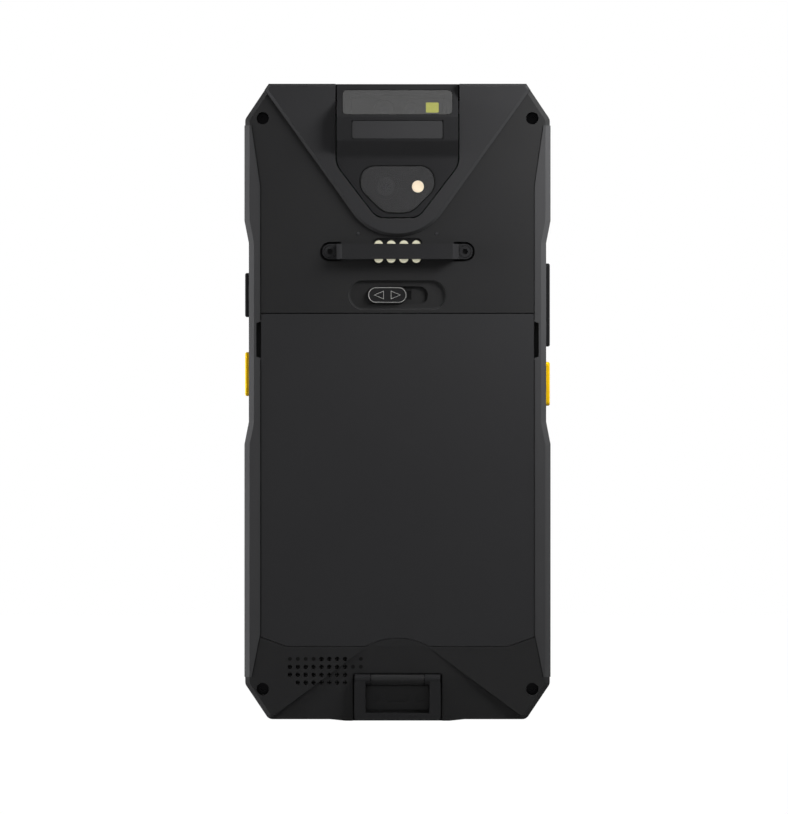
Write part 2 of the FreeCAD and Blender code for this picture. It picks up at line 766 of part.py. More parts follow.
def make_front():
    bezel = new_body("FrontBezel")
    pad(bezel, outline(bezel, "BezelCasing", "y", front, casing_corners("corner_radius")), "bezel_depth")
    fore = value(front)
    treat_edges(bezel, "Fillet", "RimRound", "bezel_round", lambda edge: at_level(edge, "y", fore))
    glass_half = "(glass_width / 2)"
    glass_top = "(glass_bottom + glass_height)"
    seat = rectangle(f"-{glass_half} - seam", f"{glass_half} + seam", "glass_bottom - seam",
                     f"{glass_top} + seam", "glass_radius + seam")
    pocket(bezel, outline(bezel, "GlassSeat", "y", front, seat), "glass_sink + glass_thick", backwards=True)
    window = rectangle("-display_width / 2 - 0.3", "display_width / 2 + 0.3", "glass_bottom + 8",
                       "glass_bottom + 8.6 + display_height", "1")
    pocket(bezel, outline(bezel, "DisplayWindow", "y", front, window), "bezel_depth", backwards=True)
    cavity = inner_corners(f"({cavity_half} + 0.3)", "end_wall", cavity_top)
    pocket(bezel, outline(bezel, "BezelCavity", "y", parting, cavity), f"{display_back} - {parting}")
    places = [(f"{side} * screw_across / 2", height, "screw_radius + 0.02") for side in (-1, 1)
              for height in ("screw_low", "screw_high")]
    pocket(bezel, circles(bezel, "BezelScrews", "y", parting, places), f"{display_back} - {parting}")
    slot = pill("-6.5", "6.5", f"({glass_top} + 1.45)", "1.2")
    pocket(bezel, outline(bezel, "EarpieceSlot", "y", front, slot), "bezel_depth", backwards=True)
    eye = circles(bezel, "CameraEye", "y", front, [("18", f"{glass_top} - 4", "3.1")])
    pocket(bezel, eye, "bezel_depth", backwards=True)
    keep("front_bezel", bezel)

    glass = new_body("CoverGlass")
    pane = rectangle(f"-{glass_half}", glass_half, "glass_bottom", glass_top, "glass_radius")
    pad(glass, outline(glass, "Pane", "y", glass_front, pane), "glass_thick")
    glass_outer = value(glass_front)
    treat_edges(glass, "Chamfer", "PaneEdge", "0.2", lambda edge: at_level(edge, "y", glass_outer))
    keep("cover_glass", glass)

    keep("display_panel", box("DisplayPanel", "-display_width / 2", "display_width / 2", display_back,
                              glass_back, "glass_bottom + 8.3", "glass_bottom + 8.3 + display_height"))

    chassis = new_body("MidFrame")
    plate = inner_corners(f"({cavity_half} - 0.1)", "(end_wall + 0.4)", f"({cavity_top} - 0.4)")
    pad(chassis, outline(chassis, "ChassisPlate", "y", display_back, plate), "frame_thick")
    posts = [(f"{side} * 26", height, "2") for side in (-1, 1) for height in ("30", "80", "138")]
    pad(chassis, circles(chassis, "Posts", "y", frame_back, posts), "standoff_height")
    openings = circles(chassis, "ChassisEye", "y", display_back, [("18", f"{glass_top} - 4", "3.1")])
    pocket(chassis, openings, "frame_thick", backwards=True)
    slot = rectangle("-8", "8", f"{glass_top} + 0.4", f"{cavity_top} - 1")
    pocket(chassis, outline(chassis, "ChassisSlot", "y", display_back, slot), "frame_thick",
           backwards=True)
    keep("mid_frame", chassis)

    keep("earpiece", box("Earpiece", "-7.5", "7.5", f"{display_back} - 2.9", f"{display_back} - 0.3",
                         f"{glass_top} + 0.6", f"{cavity_top} - 1.2"))
    keep("earpiece_mesh", box("EarpieceMesh", "-7", "7", f"{display_back} - 0.3", display_back,
                              f"{glass_top} + 0.6", f"{cavity_top} - 1.2"))
    lens = rod("FrontCameraTube", "y", "18", board_front, f"{glass_top} - 4", "2.8",
               f"{glass_back} - {board_front}")
    keep("front_camera", lens)


def make_electronics():
    board = new_body("MainBoard")
    corners = inner_corners(f"({cavity_half} - 1.6)", "(end_wall + 0.6)", "(glass_bottom + glass_height - 0.6)")
    pad(board, outline(board, "BoardOutline", "y", board_front, corners), "board_thick")
    keep("main_board", board)
    can = new_body("ShieldCan")
    pad(can, outline(can, "CanOutline", "y", board_back, rectangle("-22", "14", "52", "84", "1.5")), "1.8")
    rear = value(f"{board_back} - 1.8")
    treat_edges(can, "Fillet", "CanRound", "0.6", lambda edge: at_level(edge, "y", rear))
    keep("shield_can", can)
    small = box("PowerCanBlock", "-20", "4", f"{board_back} - 1.6", board_back, "108", "126")
    keep("power_shield_can", small)
    keep("vibration_motor", rod("VibrationMotor", "y", "24", f"{board_back} - 2.7", "128", "4", "2.7"))
    shell = new_body("PortShell")
    pad(shell, outline(shell, "PortOutline", "z", "0.9", pill("-4.45", "4.45", f"({board_back} - 1.65)", "3.2")),
        "7.3")
    mouth = pill("-4.15", "4.15", f"({board_back} - 1.65)", "2.6")
    pocket(shell, outline(shell, "PortMouth", "z", "0.9", mouth), "6.5", backwards=True)
    tongue = outline(shell, "PortTongue", "z", "1.5",
                     rectangle("-3.3", "3.3", f"{board_back} - 2", f"{board_back} - 1.3"))
    pad(shell, tongue, "6.3")
    keep("usb_port", shell)
    keep("speaker", box("SpeakerBox", "grille_left - 1", "-loop_half - 1.6", f"{back_inside} + mesh_thick",
                        f"{back_inside} + mesh_thick + speaker_thick", "grille_bottom - 1.4",
                        "grille_bottom + 6.6"))
    keep("speaker_mesh", box("SpeakerMesh", "grille_left - 1", "-loop_half - 1.6", back_inside,
                             f"{back_inside} + mesh_thick", "grille_bottom - 1.4", "grille_bottom + 6.6"))
    for side, name in ((-1, "left"), (1, "right")):
        low, high = ("78", "114") if side < 0 else ("75", "116")
        inner = f"{cavity_half} - 0.9"
        near, far = (f"-({cavity_half} - 0.3)", f"-({inner})") if side < 0 else (inner, f"{cavity_half} - 0.3")
        strip = box(f"{name}_strip", near, far, "key_middle_y - 2", "key_middle_y + 1.1", low, high)
        domes = []
        for node, (key_side, bottom, length, stems) in keys.items():
            if key_side != side:
                continue
            for share in stems:
                start = f"-({cavity_half} - 0.3)" if side < 0 else f"{cavity_half} - 0.3"
                dome = rod(f"{node}_dome_{int(share * 10)}", "x",
                           f"{start} - 0.3" if side < 0 else start, "key_middle_y",
                           f"{bottom} + {length} * {share}", "1", "0.3")
                domes.append(dome)
        keep(f"{name}_switch_strip", fuse(f"{name}_switches", [strip] + domes))


def make_scan_head():
    shell = new_body("ScanHeadShell")
    pad(shell, outline(shell, "VeePlate", "y", vee_inside, vee_corners()), "vee_seat + vee_rise")
    outer = value(vee_out)
    treat_edges(shell, "Chamfer", "VeeBevel", "vee_bevel", lambda edge: at_level(edge, "y", outer))
    pocket(shell, outline(shell, "NoseHole", "y", vee_out, nose_hole_corners()), "vee_seat + vee_rise")
    keep("scan_head_shell", shell)

    plan = new_body("NosePlan")
    pad(plan, outline(plan, "NoseOutline", "y", back_inside, nose_corners(nose_half, "nose_gap")), "8")
    side = new_body("NoseProfile")
    top_y = f"({nose_out} + (body_height - 0.9 - nose_ridge) * tan(window_tilt))"
    profile = [
        (back_inside, "nose_bottom - 1"),
        (back_inside, "body_height"),
        (f"{top_y} + 0.7", "body_height"),
        (top_y, "body_height - 0.9"),
        (nose_out, "nose_ridge", "0.8"),
        (nose_out, "nose_face_bottom", "1.2"),
        (camera_face, "camera_top + 2.2", "2"),
        (camera_face, "nose_bottom - 1"),
    ]
    slab = pad(side, outline(side, "NoseSide", "x", f"-{nose_half} - 1", profile), "nose_width + 2")
    slab.Refine = True
    blank = common("NoseBlank", [plan, side])

    tilt = value("window_tilt")
    face_point = vector(0, value(nose_out), value("nose_ridge"))
    lean = FreeCAD.Rotation(vector(1, 0, 0), -tilt)
    window_middle = "(window_height / 2 + 0.6)"
    window_corners = rectangle("-window_width / 2", "window_width / 2", f"{window_middle} - window_height / 2",
                               f"{window_middle} + window_height / 2", "1.3")

    def leaning(item):
        item.Placement = FreeCAD.Placement(face_point, lean)
        return item

    seat = new_body("WindowSeat")
    pad(seat, outline(seat, "SeatOutline", "y", "-0.5", window_corners), "window_thick + 0.6", backwards=True)
    room = new_body("EngineRoom")
    room_corners = rectangle("-engine_width / 2 - 0.25", "engine_width / 2 + 0.25",
                             f"{window_middle} - window_height / 2 + window_ledge",
                             f"{window_middle} + window_height / 2 - window_ledge")
    pad(room, outline(room, "RoomOutline", "y", "window_thick", room_corners), "9", backwards=True)
    pane = new_body("WindowPane")
    pane_corners = rectangle("-window_width / 2 + seam", "window_width / 2 - seam",
                             f"{window_middle} - window_height / 2 + seam",
                             f"{window_middle} + window_height / 2 - seam", "1.2")
    pad(pane, outline(pane, "PaneOutline", "y", "window_thick", pane_corners), "window_thick")
    plate_seat = box("PlateSeat", "-plate_width / 2 - 0.05", "plate_width / 2 + 0.05", f"{nose_out} - 1",
                     f"{nose_out} + plate_thick", "plate_middle - plate_height / 2 - 0.05",
                     "plate_middle + plate_height / 2 + 0.05")
    camera_seat = new_body("CameraSeat")
    pad(camera_seat, outline(camera_seat, "CameraSeatOutline", "y", f"{camera_face} + camera_glass",
                             camera_corners("0.08")), "camera_glass + 1")
    camera_hole = rod("CameraHole", "y", "camera_lens_x", f"{camera_face} + camera_glass - 0.1",
                      "camera_lens_z", "3.3", "6")
    hollow = fuse("NoseHollow", [leaning(seat), leaning(room), plate_seat, camera_seat, camera_hole])
    keep("scan_nose", cut("ScanNose", blank, hollow))
    keep("scan_window", leaning(pane))

    plate = new_body("BlankPlate")
    plate_corners = rectangle("-plate_width / 2", "plate_width / 2", "plate_middle - plate_height / 2",
                              "plate_middle + plate_height / 2", "0.7")
    pad(plate, outline(plate, "PlateOutline", "y", f"{nose_out} + plate_thick", plate_corners),
        "plate_thick - 0.12")
    keep("blank_plate", plate)

    engine_front = "(window_thick + 2.2)"
    engine = new_body("ScanEngine")
    engine_corners = rectangle("-engine_width / 2", "engine_width / 2", f"{window_middle} - engine_height / 2",
                               f"{window_middle} + engine_height / 2")
    pad(engine, outline(engine, "EngineOutline", "y", f"{engine_front} + engine_deep", engine_corners),
        "engine_deep")
    wells = [("scan_lens_x", window_middle, "scan_lens_radius + 0.05"),
             ("aimer_lens_x", window_middle, "aimer_lens_radius + 0.05")]
    pocket(engine, circles(engine, "EngineWells", "y", engine_front, wells), "1.2")
    keep("scan_engine", leaning(engine))
    for node, word in (("scan_lens", "ScanLens"), ("aimer_lens", "AimerLens")):
        lens = new_body(word)
        place = (f"{node}_x", window_middle, f"{node}_radius")
        pad(lens, circles(lens, f"{word}Outline", "y", f"{engine_front} + 1.15", [place]), "lens_thick")
        keep(node, leaning(lens))
    lamp = new_body("Lamp")
    lamp_corners = rectangle("7.1", "10.3", f"{window_middle} - 1.3", f"{window_middle} + 1.3", "0.3")
    pad(lamp, outline(lamp, "LampOutline", "y", f"{engine_front} - 0.02", lamp_corners), "0.6")
    keep("illumination_lamp", leaning(lamp))


def make_camera():
    window = new_body("CameraWindow")
    pad(window, outline(window, "CameraPane", "y", f"{camera_face} + camera_glass", camera_corners("0")),
        "camera_glass")
    pocket(window, circles(window, "FlashHole", "y", camera_face, [
        ("flash_x", "camera_lens_z", "flash_radius + 0.05")]), "camera_glass")
    keep("camera_window", window)
    keep("flash_lens", rod("FlashLens", "y", "flash_x", camera_face, "camera_lens_z", "flash_radius",
                           "camera_glass"))
    tube = rod("CameraTube", "y", "camera_lens_x", f"{camera_face} + camera_glass", "camera_lens_z", "3.2",
               "4.5")
    well = rod("CameraWell", "y", "camera_lens_x", f"{camera_face} + camera_glass - 1", "camera_lens_z",
               "camera_lens_radius + 0.03", "1.9")
    keep("camera_barrel", cut("CameraBarrel", tube, well))
    keep("camera_lens", rod("CameraLens", "y", "camera_lens_x", f"{camera_face} + camera_glass + 0.1",
                            "camera_lens_z", "camera_lens_radius", "0.8"))


def make_grips():
    for side, name in ((1, "right"), (-1, "left")):
        body = new_body(f"{name.title()}Grip")
        mirror = [(f"{side} * ({corner[0]})",) + corner[1:] for corner in grip_corners(bay_half, "0")]
        core = [(f"{side} * ({corner[0]})",) + corner[1:] for corner in grip_corners(core_half, "6")]
        pad(body, outline(body, f"{name}GripLip", "y", lip_inside, mirror), "grip_lip")
        rear = value(back)
        outer = value(f"{half_width} - 1.5")

        def outer_rear(edge):
            return at_level(edge, "y", rear) and all(abs(vertex.X) > outer for vertex in edge.Vertexes)

        treat_edges(body, "Chamfer", f"{name}GripBevel", "grip_bevel", outer_rear)
        pad(body, outline(body, f"{name}GripWall", "y", parting, core), f"{parting} - {lip_inside}")
        notch = [
            (f"{side} * ({bay_half} - 1)", "notch_bottom"),
            (f"{side} * ({bay_half} + notch_deep)", "notch_bottom + 0.7"),
            (f"{side} * ({bay_half} + notch_deep)", "notch_bottom + notch_height - 0.7"),
            (f"{side} * ({bay_half} - 1)", "notch_bottom + notch_height"),
        ]
        pocket(body, outline(body, f"{name}Notch", "y", back, notch), "grip_lip")
        for node, (key_side, bottom, length, stems) in keys.items():
            if key_side != side:
                continue
            hole = key_corners(bottom, length, "key_gap")
            pocket(body, outline(body, f"{node}_hole", "x", f"{side} * {core_half}", hole), "6",
                   backwards=side > 0)
        keep(f"{name}_grip", body)


def make_keys():
    for node, (side, bottom, length, stems) in keys.items():
        body = new_body(node.title().replace("_", ""))
        level = f"{side} * (key_reach - key_thick)"
        cap = outline(body, f"{node}_cap", "x", level, key_corners(bottom, length, "0"))
        pad(body, cap, "key_thick", backwards=side < 0)
        outer = side * value("key_reach")
        treat_edges(body, "Fillet", f"{node}_round", "0.45", lambda edge: at_level(edge, "x", outer))
        places = [("key_middle_y", f"{bottom} + {length} * {share}", "stem_radius") for share in stems]
        stem = circles(body, f"{node}_stems", "x", level, places)
        pad(body, stem, f"key_reach - key_thick - {stem_reach}", backwards=side > 0)
        keep(node, body)


def make_strap_bar():
    body = new_body("StrapBar")
    end = "(bar_pitch / 2 + bar_height / 2)"
    foot_in = f"({back} + bar_end_deep)"
    foot_out = f"({back} + bar_end_deep - bar_end_thick)"
    crest = f"({back} - bar_bridge)"
    right = [
        ("(bar_pitch / 2 - 2.4)", foot_in),
        (end, foot_in),
        (end, foot_out),
        ("(bar_pitch / 2 - 1.6)", foot_out),
        ("(bar_pitch / 2 - 2.9)", crest, "0.6"),
    ]
    inner = [
        ("(bar_pitch / 2 - 3.9)", f"{crest} + bar_thick"),
        ("(bar_pitch / 2 - 2.7)", f"{back} - 0.2"),
    ]
    left = [(f"-({corner[0]})",) + tuple(corner[1:]) for corner in reversed(right)]
    left_inner = [(f"-({corner[0]})",) + tuple(corner[1:]) for corner in reversed(inner)]
    corners = right + left + left_inner + inner
    pad(body, outline(body, "BarProfile", "z", "bar_middle - bar_height / 2", corners), "bar_height")
    reach = value(end)
    treat_edges(body, "Fillet", "BarEnds", "bar_height / 2 - 0.05",
                lambda edge: at_level(edge, "x", reach) and edge.Length < 3 and abs(
                    edge.Vertexes[0].Y - edge.Vertexes[-1].Y) > 0.1)
    treat_edges(body, "Fillet", "BarFarEnds", "bar_height / 2 - 0.05",
                lambda edge: at_level(edge, "x", -reach) and edge.Length < 3 and abs(
                    edge.Vertexes[0].Y - edge.Vertexes[-1].Y) > 0.1)
    holes = [(f"{side} * bar_pitch / 2", "bar_middle") for side in (-1, 1)]
    pocket(body, circles(body, "BarHoles", "y", foot_out, [
        place + ("bar_screw_radius + 0.1",) for place in holes]), "bar_end_thick")
    pocket(body, circles(body, "BarSinks", "y", foot_out, [place + ("1.55",) for place in holes]), "0.9")
    keep("strap_bar", body)

    screws = []
    for side in (-1, 1):
        name = "Left" if side < 0 else "Right"
        screw = new_body(f"{name}BarScrew")
        place = (f"{side} * bar_pitch / 2", "bar_middle")
        pad(screw, circles(screw, f"{name}ScrewHead", "y", f"{foot_out} + 0.9", [place + ("1.45",)]), "0.95")
        pad(screw, circles(screw, f"{name}ScrewShank", "y", f"{foot_out} + 0.9", [
            place + ("bar_screw_radius",)]), "3.2", backwards=True)
        socket = [(f"{side} * bar_pitch / 2 + {0.75 * math.cos(step * math.pi / 3):.4f}",
                   f"bar_middle + {0.75 * math.sin(step * math.pi / 3):.4f}") for step in range(6)]
        pocket(screw, outline(screw, f"{name}Socket", "y", f"{foot_out} - 0.05", socket), "0.65")
        screws.append(screw)
    keep("strap_bar_screws", group("StrapBarScrews", screws))

    base = new_body("ContactPad")
    corners = rectangle("-contact_pad_width / 2 + 0.05", "contact_pad_width / 2 - 0.05",
                        "bar_middle - contact_pad_height / 2 + 0.05",
                        "bar_middle + contact_pad_height / 2 - 0.05", "1.35")
    pad(base, outline(base, "PadOutline", "y", f"{pad_face} + contact_pad_thick", corners), "contact_pad_thick")
    places = [(f"contact_pitch * {column}", f"bar_middle + contact_row_gap / 2 * {row}")
              for column in (-1.5, -0.5, 0.5, 1.5) for row in (-1, 1)]
    seats = circles(base, "ContactSeats", "y", pad_face, [place + ("contact_radius + 0.02",)
                                                          for place in places])
    pocket(base, seats, "0.6")
    keep("contact_pad", base)
    studs = []
    for index, place in enumerate(places):
        stud = new_body(f"Contact{index}")
        pad(stud, circles(stud, f"Contact{index}Outline", "y", f"{pad_face} + 0.58", [
            place + ("contact_radius",)]), "0.75")
        outer = value(f"{pad_face} + 0.58 - 0.75")
        treat_edges(stud, "Fillet", f"Contact{index}Round", "0.3",
                    lambda edge: at_level(edge, "y", outer))
        studs.append(stud)
    keep("rear_contacts", group("RearContacts", studs))


def make_latch():
    knob = new_body("LatchKnob")
    left = "-(latch_knob_length + latch_travel) / 2"
    corners = pill(left, f"{left} + latch_knob_length", "latch_middle", "latch_knob_height")
    pad(knob, outline(knob, "KnobOutline", "y", f"{slot_floor} - latch_gap", corners),
        f"{slot_floor} - latch_gap - {back} + 0.1")
    outer = value(f"{back} - 0.1")
    treat_edges(knob, "Fillet", "KnobRound", "0.35", lambda edge: at_level(edge, "y", outer))
    neck = rectangle(f"{latch_neck_x} - latch_neck / 2", f"{latch_neck_x} + latch_neck / 2",
                     "latch_middle - 1", "latch_middle + 1")
    pad(knob, outline(knob, "KnobNeck", "y", f"{slot_floor} - latch_gap", neck),
        f"{back_inside} + 0.1 - {slot_floor} + latch_gap", backwards=True)
    keep("latch_knob", knob)

    bolt_rear = f"({back_inside} + 0.1)"
    bolt = new_body("LatchBolt")
    plate = rectangle("bolt_hook_left", "bolt_hook_left + bolt_hook_pitch + bolt_hook_width",
                      f"{head_bottom} + 0.2", "latch_middle + 2")
    pad(bolt, outline(bolt, "BoltPlate", "y", f"{bolt_rear} + bolt_thick", plate), "bolt_thick")
    for index, name in enumerate(("Near", "Far")):
        start = f"bolt_hook_left + bolt_hook_pitch * {index}"
        hook = rectangle(start, f"{start} + bolt_hook_width", "battery_top + 0.25 - bolt_reach",
                         f"{head_bottom} + 1")
        pad(bolt, outline(bolt, f"{name}Hook", "y", f"{bolt_rear} + bolt_thick", hook), "bolt_thick")
    keep("latch_bolt", bolt)

    span = "(bolt_hook_pitch + bolt_hook_width + latch_travel)"
    left_post = box("KeeperLeft", "bolt_hook_left - 1.8", "bolt_hook_left - 0.5", back_inside,
                    f"{bolt_rear} + bolt_thick + 0.7", f"{head_bottom} + 0.6", "latch_middle + 1.6")
    right_post = box("KeeperRight", f"bolt_hook_left + {span} + 0.5", f"bolt_hook_left + {span} + 1.8",
                     back_inside, f"{bolt_rear} + bolt_thick + 0.7", f"{head_bottom} + 0.6",
                     "latch_middle + 1.6")
    strip = box("KeeperStrip", "bolt_hook_left - 1.8", f"bolt_hook_left + {span} + 1.8",
                f"{bolt_rear} + bolt_thick + 0.1", f"{bolt_rear} + bolt_thick + 0.7",
                f"{head_bottom} + 0.6", "latch_middle + 1.6")
    keep("latch_keeper", fuse("LatchKeeper", [left_post, right_post, strip]))


def make_battery():
    case = new_body("BatteryCase")
    inner_face = f"({bay_floor} - battery_lift)"
    half = "(battery_width / 2)"
    corners = battery_corners(half, "battery_bottom", "battery_top")
    pad(case, outline(case, "CaseOutline", "y", inner_face, corners), "battery_thick")
    pocket(case, outline(case, "CrestCut", "y", back, crest_corners("seam")), "battery_thick")
    tray = rectangle(f"-{half} + battery_wall", f"{half} - battery_wall", "battery_bottom + 4.6",
                     "battery_top - battery_rail", "1")
    pocket(case, outline(case, "CaseTray", "y", inner_face, tray), "battery_thick - battery_wall",
           backwards=True)
    bolt_rear = f"({back_inside} + 0.1)"
    last = "bolt_hook_left + bolt_hook_pitch + bolt_hook_width + latch_travel"
    channel = rectangle("bolt_hook_left - 0.2", f"{last} + 0.2", f"{bolt_rear} - 0.2",
                        f"{bolt_rear} + bolt_thick + 0.2")
    pocket(case, outline(case, "HookChannel", "z", "battery_top", channel), "bolt_reach")
    for index, name in enumerate(("Near", "Far")):
        start = f"bolt_hook_left + bolt_hook_pitch * {index}"
        way_out = rectangle(f"{start} - 0.3", f"{start} + bolt_hook_width + 0.3", bolt_rear,
                            f"{inner_face} + 0.1")
        pocket(case, outline(case, f"{name}WayOut", "z", "battery_top", way_out), "bolt_reach")
    for side in (-1, 1):
        name = "Left" if side < 0 else "Right"
        tab = rectangle(f"{side} * 20 - 3", f"{side} * 20 + 3", f"{back} + 2", f"{back} + 3.2")
        pad(case, outline(case, f"{name}Tab", "z", "battery_bottom + 0.4", tab), "1.5", backwards=True)
    keep("battery_case", case)
    cell = new_body("BatteryCell")
    block = rectangle(f"-{half} + battery_wall + 0.1", f"{half} - battery_wall - 0.1",
                      "battery_bottom + 4.7", "battery_top - battery_rail - 0.1", "0.9")
    pad(cell, outline(cell, "CellOutline", "y", inner_face, block), "battery_thick - battery_wall - 0.05")
    keep("battery_cell", cell)
    pads = []
    pins = []
    for index in range(4):
        middle = f"14 + 2.4 * {index}"
        pads.append(box(f"BatteryPad{index}", f"{middle} - 0.7", f"{middle} + 0.7", inner_face,
                        f"{inner_face} + 0.1", "battery_top - 6.4", "battery_top - 3.4"))
        pins.append(box(f"BayPin{index}", f"{middle} - 0.4", f"{middle} + 0.4",
                        f"{bay_floor} - battery_lift + 0.2", bay_floor, "battery_top - 5.6",
                        "battery_top - 4.2"))
    keep("battery_contacts", group("BatteryContacts", pads))
    keep("bay_contact_pins", group("BayContactPins", pins))
    seal = new_body("BatterySeal")
    ring = rectangle("-29.5", "29.5", "battery_bottom + 9", "battery_top - 9", "3")
    hole = rectangle("-28.7", "28.7", "battery_bottom + 9.8", "battery_top - 9.8", "2.2")
    pad(seal, outline(seal, "SealOutline", "y", f"{inner_face} + 0.35", ring), "0.35")
    pocket(seal, outline(seal, "SealHole", "y", inner_face, hole), "0.35")
    keep("battery_seal", seal)
    keep("card_socket", box("CardSocket", "-28", "-12", f"{bay_floor} - 0.1", bay_floor, "72", "88"))


def make_screws():
    screws = []
    for side in (-1, 1):
        for height in ("screw_low", "screw_high"):
            name = f"{'Left' if side < 0 else 'Right'}{height.title().replace('_', '')}"
            place = (f"{side} * screw_across / 2", height)
            screw = new_body(name)
            seat = f"{back} + screw_sink + screw_head_deep"
            pad(screw, circles(screw, f"{name}Head", "y", seat, [place + ("screw_head_radius",)]),
                "screw_head_deep")
            pad(screw, circles(screw, f"{name}Shank", "y", seat, [place + ("screw_radius",)]),
                f"{display_back} - 0.3 - ({seat})", backwards=True)
            pocket(screw, circles(screw, f"{name}Drive", "y", f"{back} + screw_sink", [place + ("0.75",)]),
                   "0.9")
            screws.append(screw)
    keep("corner_screws", group("CornerScrews", screws))


def make_strap_loop():
    body = new_body("StrapLoop")
    loop_out = f"({loop_axis_y} - loop_eye_radius + 0.1)"
    bottom = "0.2"
    left = "-loop_half"
    frame_corners = rectangle(left, "loop_half", bottom, "loop_axis_z", "1.1")
    pad(body, outline(body, "LoopOutline", "y", f"{loop_out} + loop_thick", frame_corners), "loop_thick")
    gap_half = "(loop_half - loop_arm)"
    hole = rectangle(f"-{gap_half}", gap_half, "loop_bar + 0.2", "loop_axis_z + 3")
    pocket(body, outline(body, "LoopHole", "y", loop_out, hole), "loop_thick")
    for side in (-1, 1):
        name = "Left" if side < 0 else "Right"
        eye = circles(body, f"{name}Eye", "x", f"{side} * (barrel_half + loop_gap)", [
            (loop_axis_y, "loop_axis_z", "loop_eye_radius - 0.05")])
        pad(body, eye, "loop_half - barrel_half - loop_gap - 0.1", backwards=side < 0)
    bore = circles(body, "PinBore", "x", "-loop_half + 0.5", [
        (loop_axis_y, "loop_axis_z", "pin_radius + 0.01")])
    pocket(body, bore, "2 * loop_half - 1", backwards=True)
    keep("strap_loop", body)
    keep("loop_pin", rod("LoopPin", "x", "-loop_half + 0.6", loop_axis_y, "loop_axis_z", "pin_radius",
                         "2 * loop_half - 1.2"))
    plate = new_body("DockGuide")
    corners = rectangle("-7.9", "7.9", "loop_bar + 0.9", "loop_axis_z - 1.7", "0.75")
    pad(plate, outline(plate, "GuideOutline", "y", f"{recess_floor} + 0.65", corners), "0.6")
    middle = "((loop_bar + loop_axis_z - 0.8) / 2)"
    slot = pill("-2.9", "2.9", middle, "1.8")
    pocket(plate, outline(plate, "GuideSlot", "y", f"{recess_floor} + 0.05", slot), "0.4")
    for side in (-1, 1):
        name = "Left" if side < 0 else "Right"
        keyhole = pill(f"{side} * 5.7 - 1.1", f"{side} * 5.7 + 1.1", middle, "1.8")
        pocket(plate, outline(plate, f"{name}GuideHole", "y", f"{recess_floor} + 0.05", keyhole), "0.4")
    keep("dock_guide", plate)


make_casing()
make_front()
make_electronics()
make_scan_head()
make_camera()
make_grips()
make_keys()
make_strap_bar()
make_latch()
make_battery()
make_screws()
make_strap_loop()
document.recompute()

for item in document.Objects:
    if "Invalid" in item.State or "Error" in item.State:
        raise ValueError(f"{item.Name} did not build: {item.State}")
for node, item in nodes.items():
    if item.Shape.isNull() or not item.Shape.isValid():
        raise ValueError(f"{node} has no valid shape")

os.makedirs("parts", exist_ok=True)
for node, item in nodes.items():
    item.Shape.exportStep(f"parts/{node}.step")
print(len(nodes), "nodes written")
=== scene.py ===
import math
import bmesh
import bpy
from mathutils import Matrix, Vector, geometry
from mathutils.bvhtree import BVHTree


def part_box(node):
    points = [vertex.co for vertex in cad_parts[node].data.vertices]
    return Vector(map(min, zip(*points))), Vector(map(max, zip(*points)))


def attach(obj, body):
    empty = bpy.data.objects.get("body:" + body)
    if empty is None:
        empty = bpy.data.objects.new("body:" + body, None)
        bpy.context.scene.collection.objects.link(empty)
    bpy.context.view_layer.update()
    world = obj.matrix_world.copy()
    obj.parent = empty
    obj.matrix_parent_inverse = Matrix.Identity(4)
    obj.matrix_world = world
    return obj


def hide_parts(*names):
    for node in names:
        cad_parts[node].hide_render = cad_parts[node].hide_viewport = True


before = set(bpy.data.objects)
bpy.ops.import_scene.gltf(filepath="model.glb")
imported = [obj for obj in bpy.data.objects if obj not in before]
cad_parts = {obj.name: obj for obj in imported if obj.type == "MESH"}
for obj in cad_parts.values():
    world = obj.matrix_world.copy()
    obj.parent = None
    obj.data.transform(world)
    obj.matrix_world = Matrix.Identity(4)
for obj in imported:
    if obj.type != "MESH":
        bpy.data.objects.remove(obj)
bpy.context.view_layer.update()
scene = bpy.context.scene
mm = 0.001
print("frame loaded:", len(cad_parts), "nodes")


def fromHex(code):
    channels = [int(code[i:i + 2], 16) / 255 for i in (0, 2, 4)]
    linear = [c / 12.92 if c <= 0.04045 else ((c + 0.055) / 1.055) ** 2.4 for c in channels]
    return (*linear, 1.0)


def addNode(tree, kind, settings=None, links=None):
    node = tree.nodes.new(kind)
    for name, value in (settings or {}).items():
        if isinstance(name, str) and hasattr(node, name):
            setattr(node, name, value)
        else:
            node.inputs[name].default_value = value
    for name, source in (links or {}).items():
        tree.links.new(source, node.inputs[name])
    return node


def startMaterial(name):
    material = bpy.data.materials.new(name)
    material.use_nodes = True
    tree = material.node_tree
    tree.nodes.clear()
    place = addNode(tree, "ShaderNodeTexCoord")
    return material, tree, place.outputs["Object"]


def finishMaterial(tree, shader, links):
    surface = addNode(tree, "ShaderNodeBsdfPrincipled", shader, links)
    addNode(tree, "ShaderNodeOutputMaterial", links={"Surface": surface.outputs[0]})


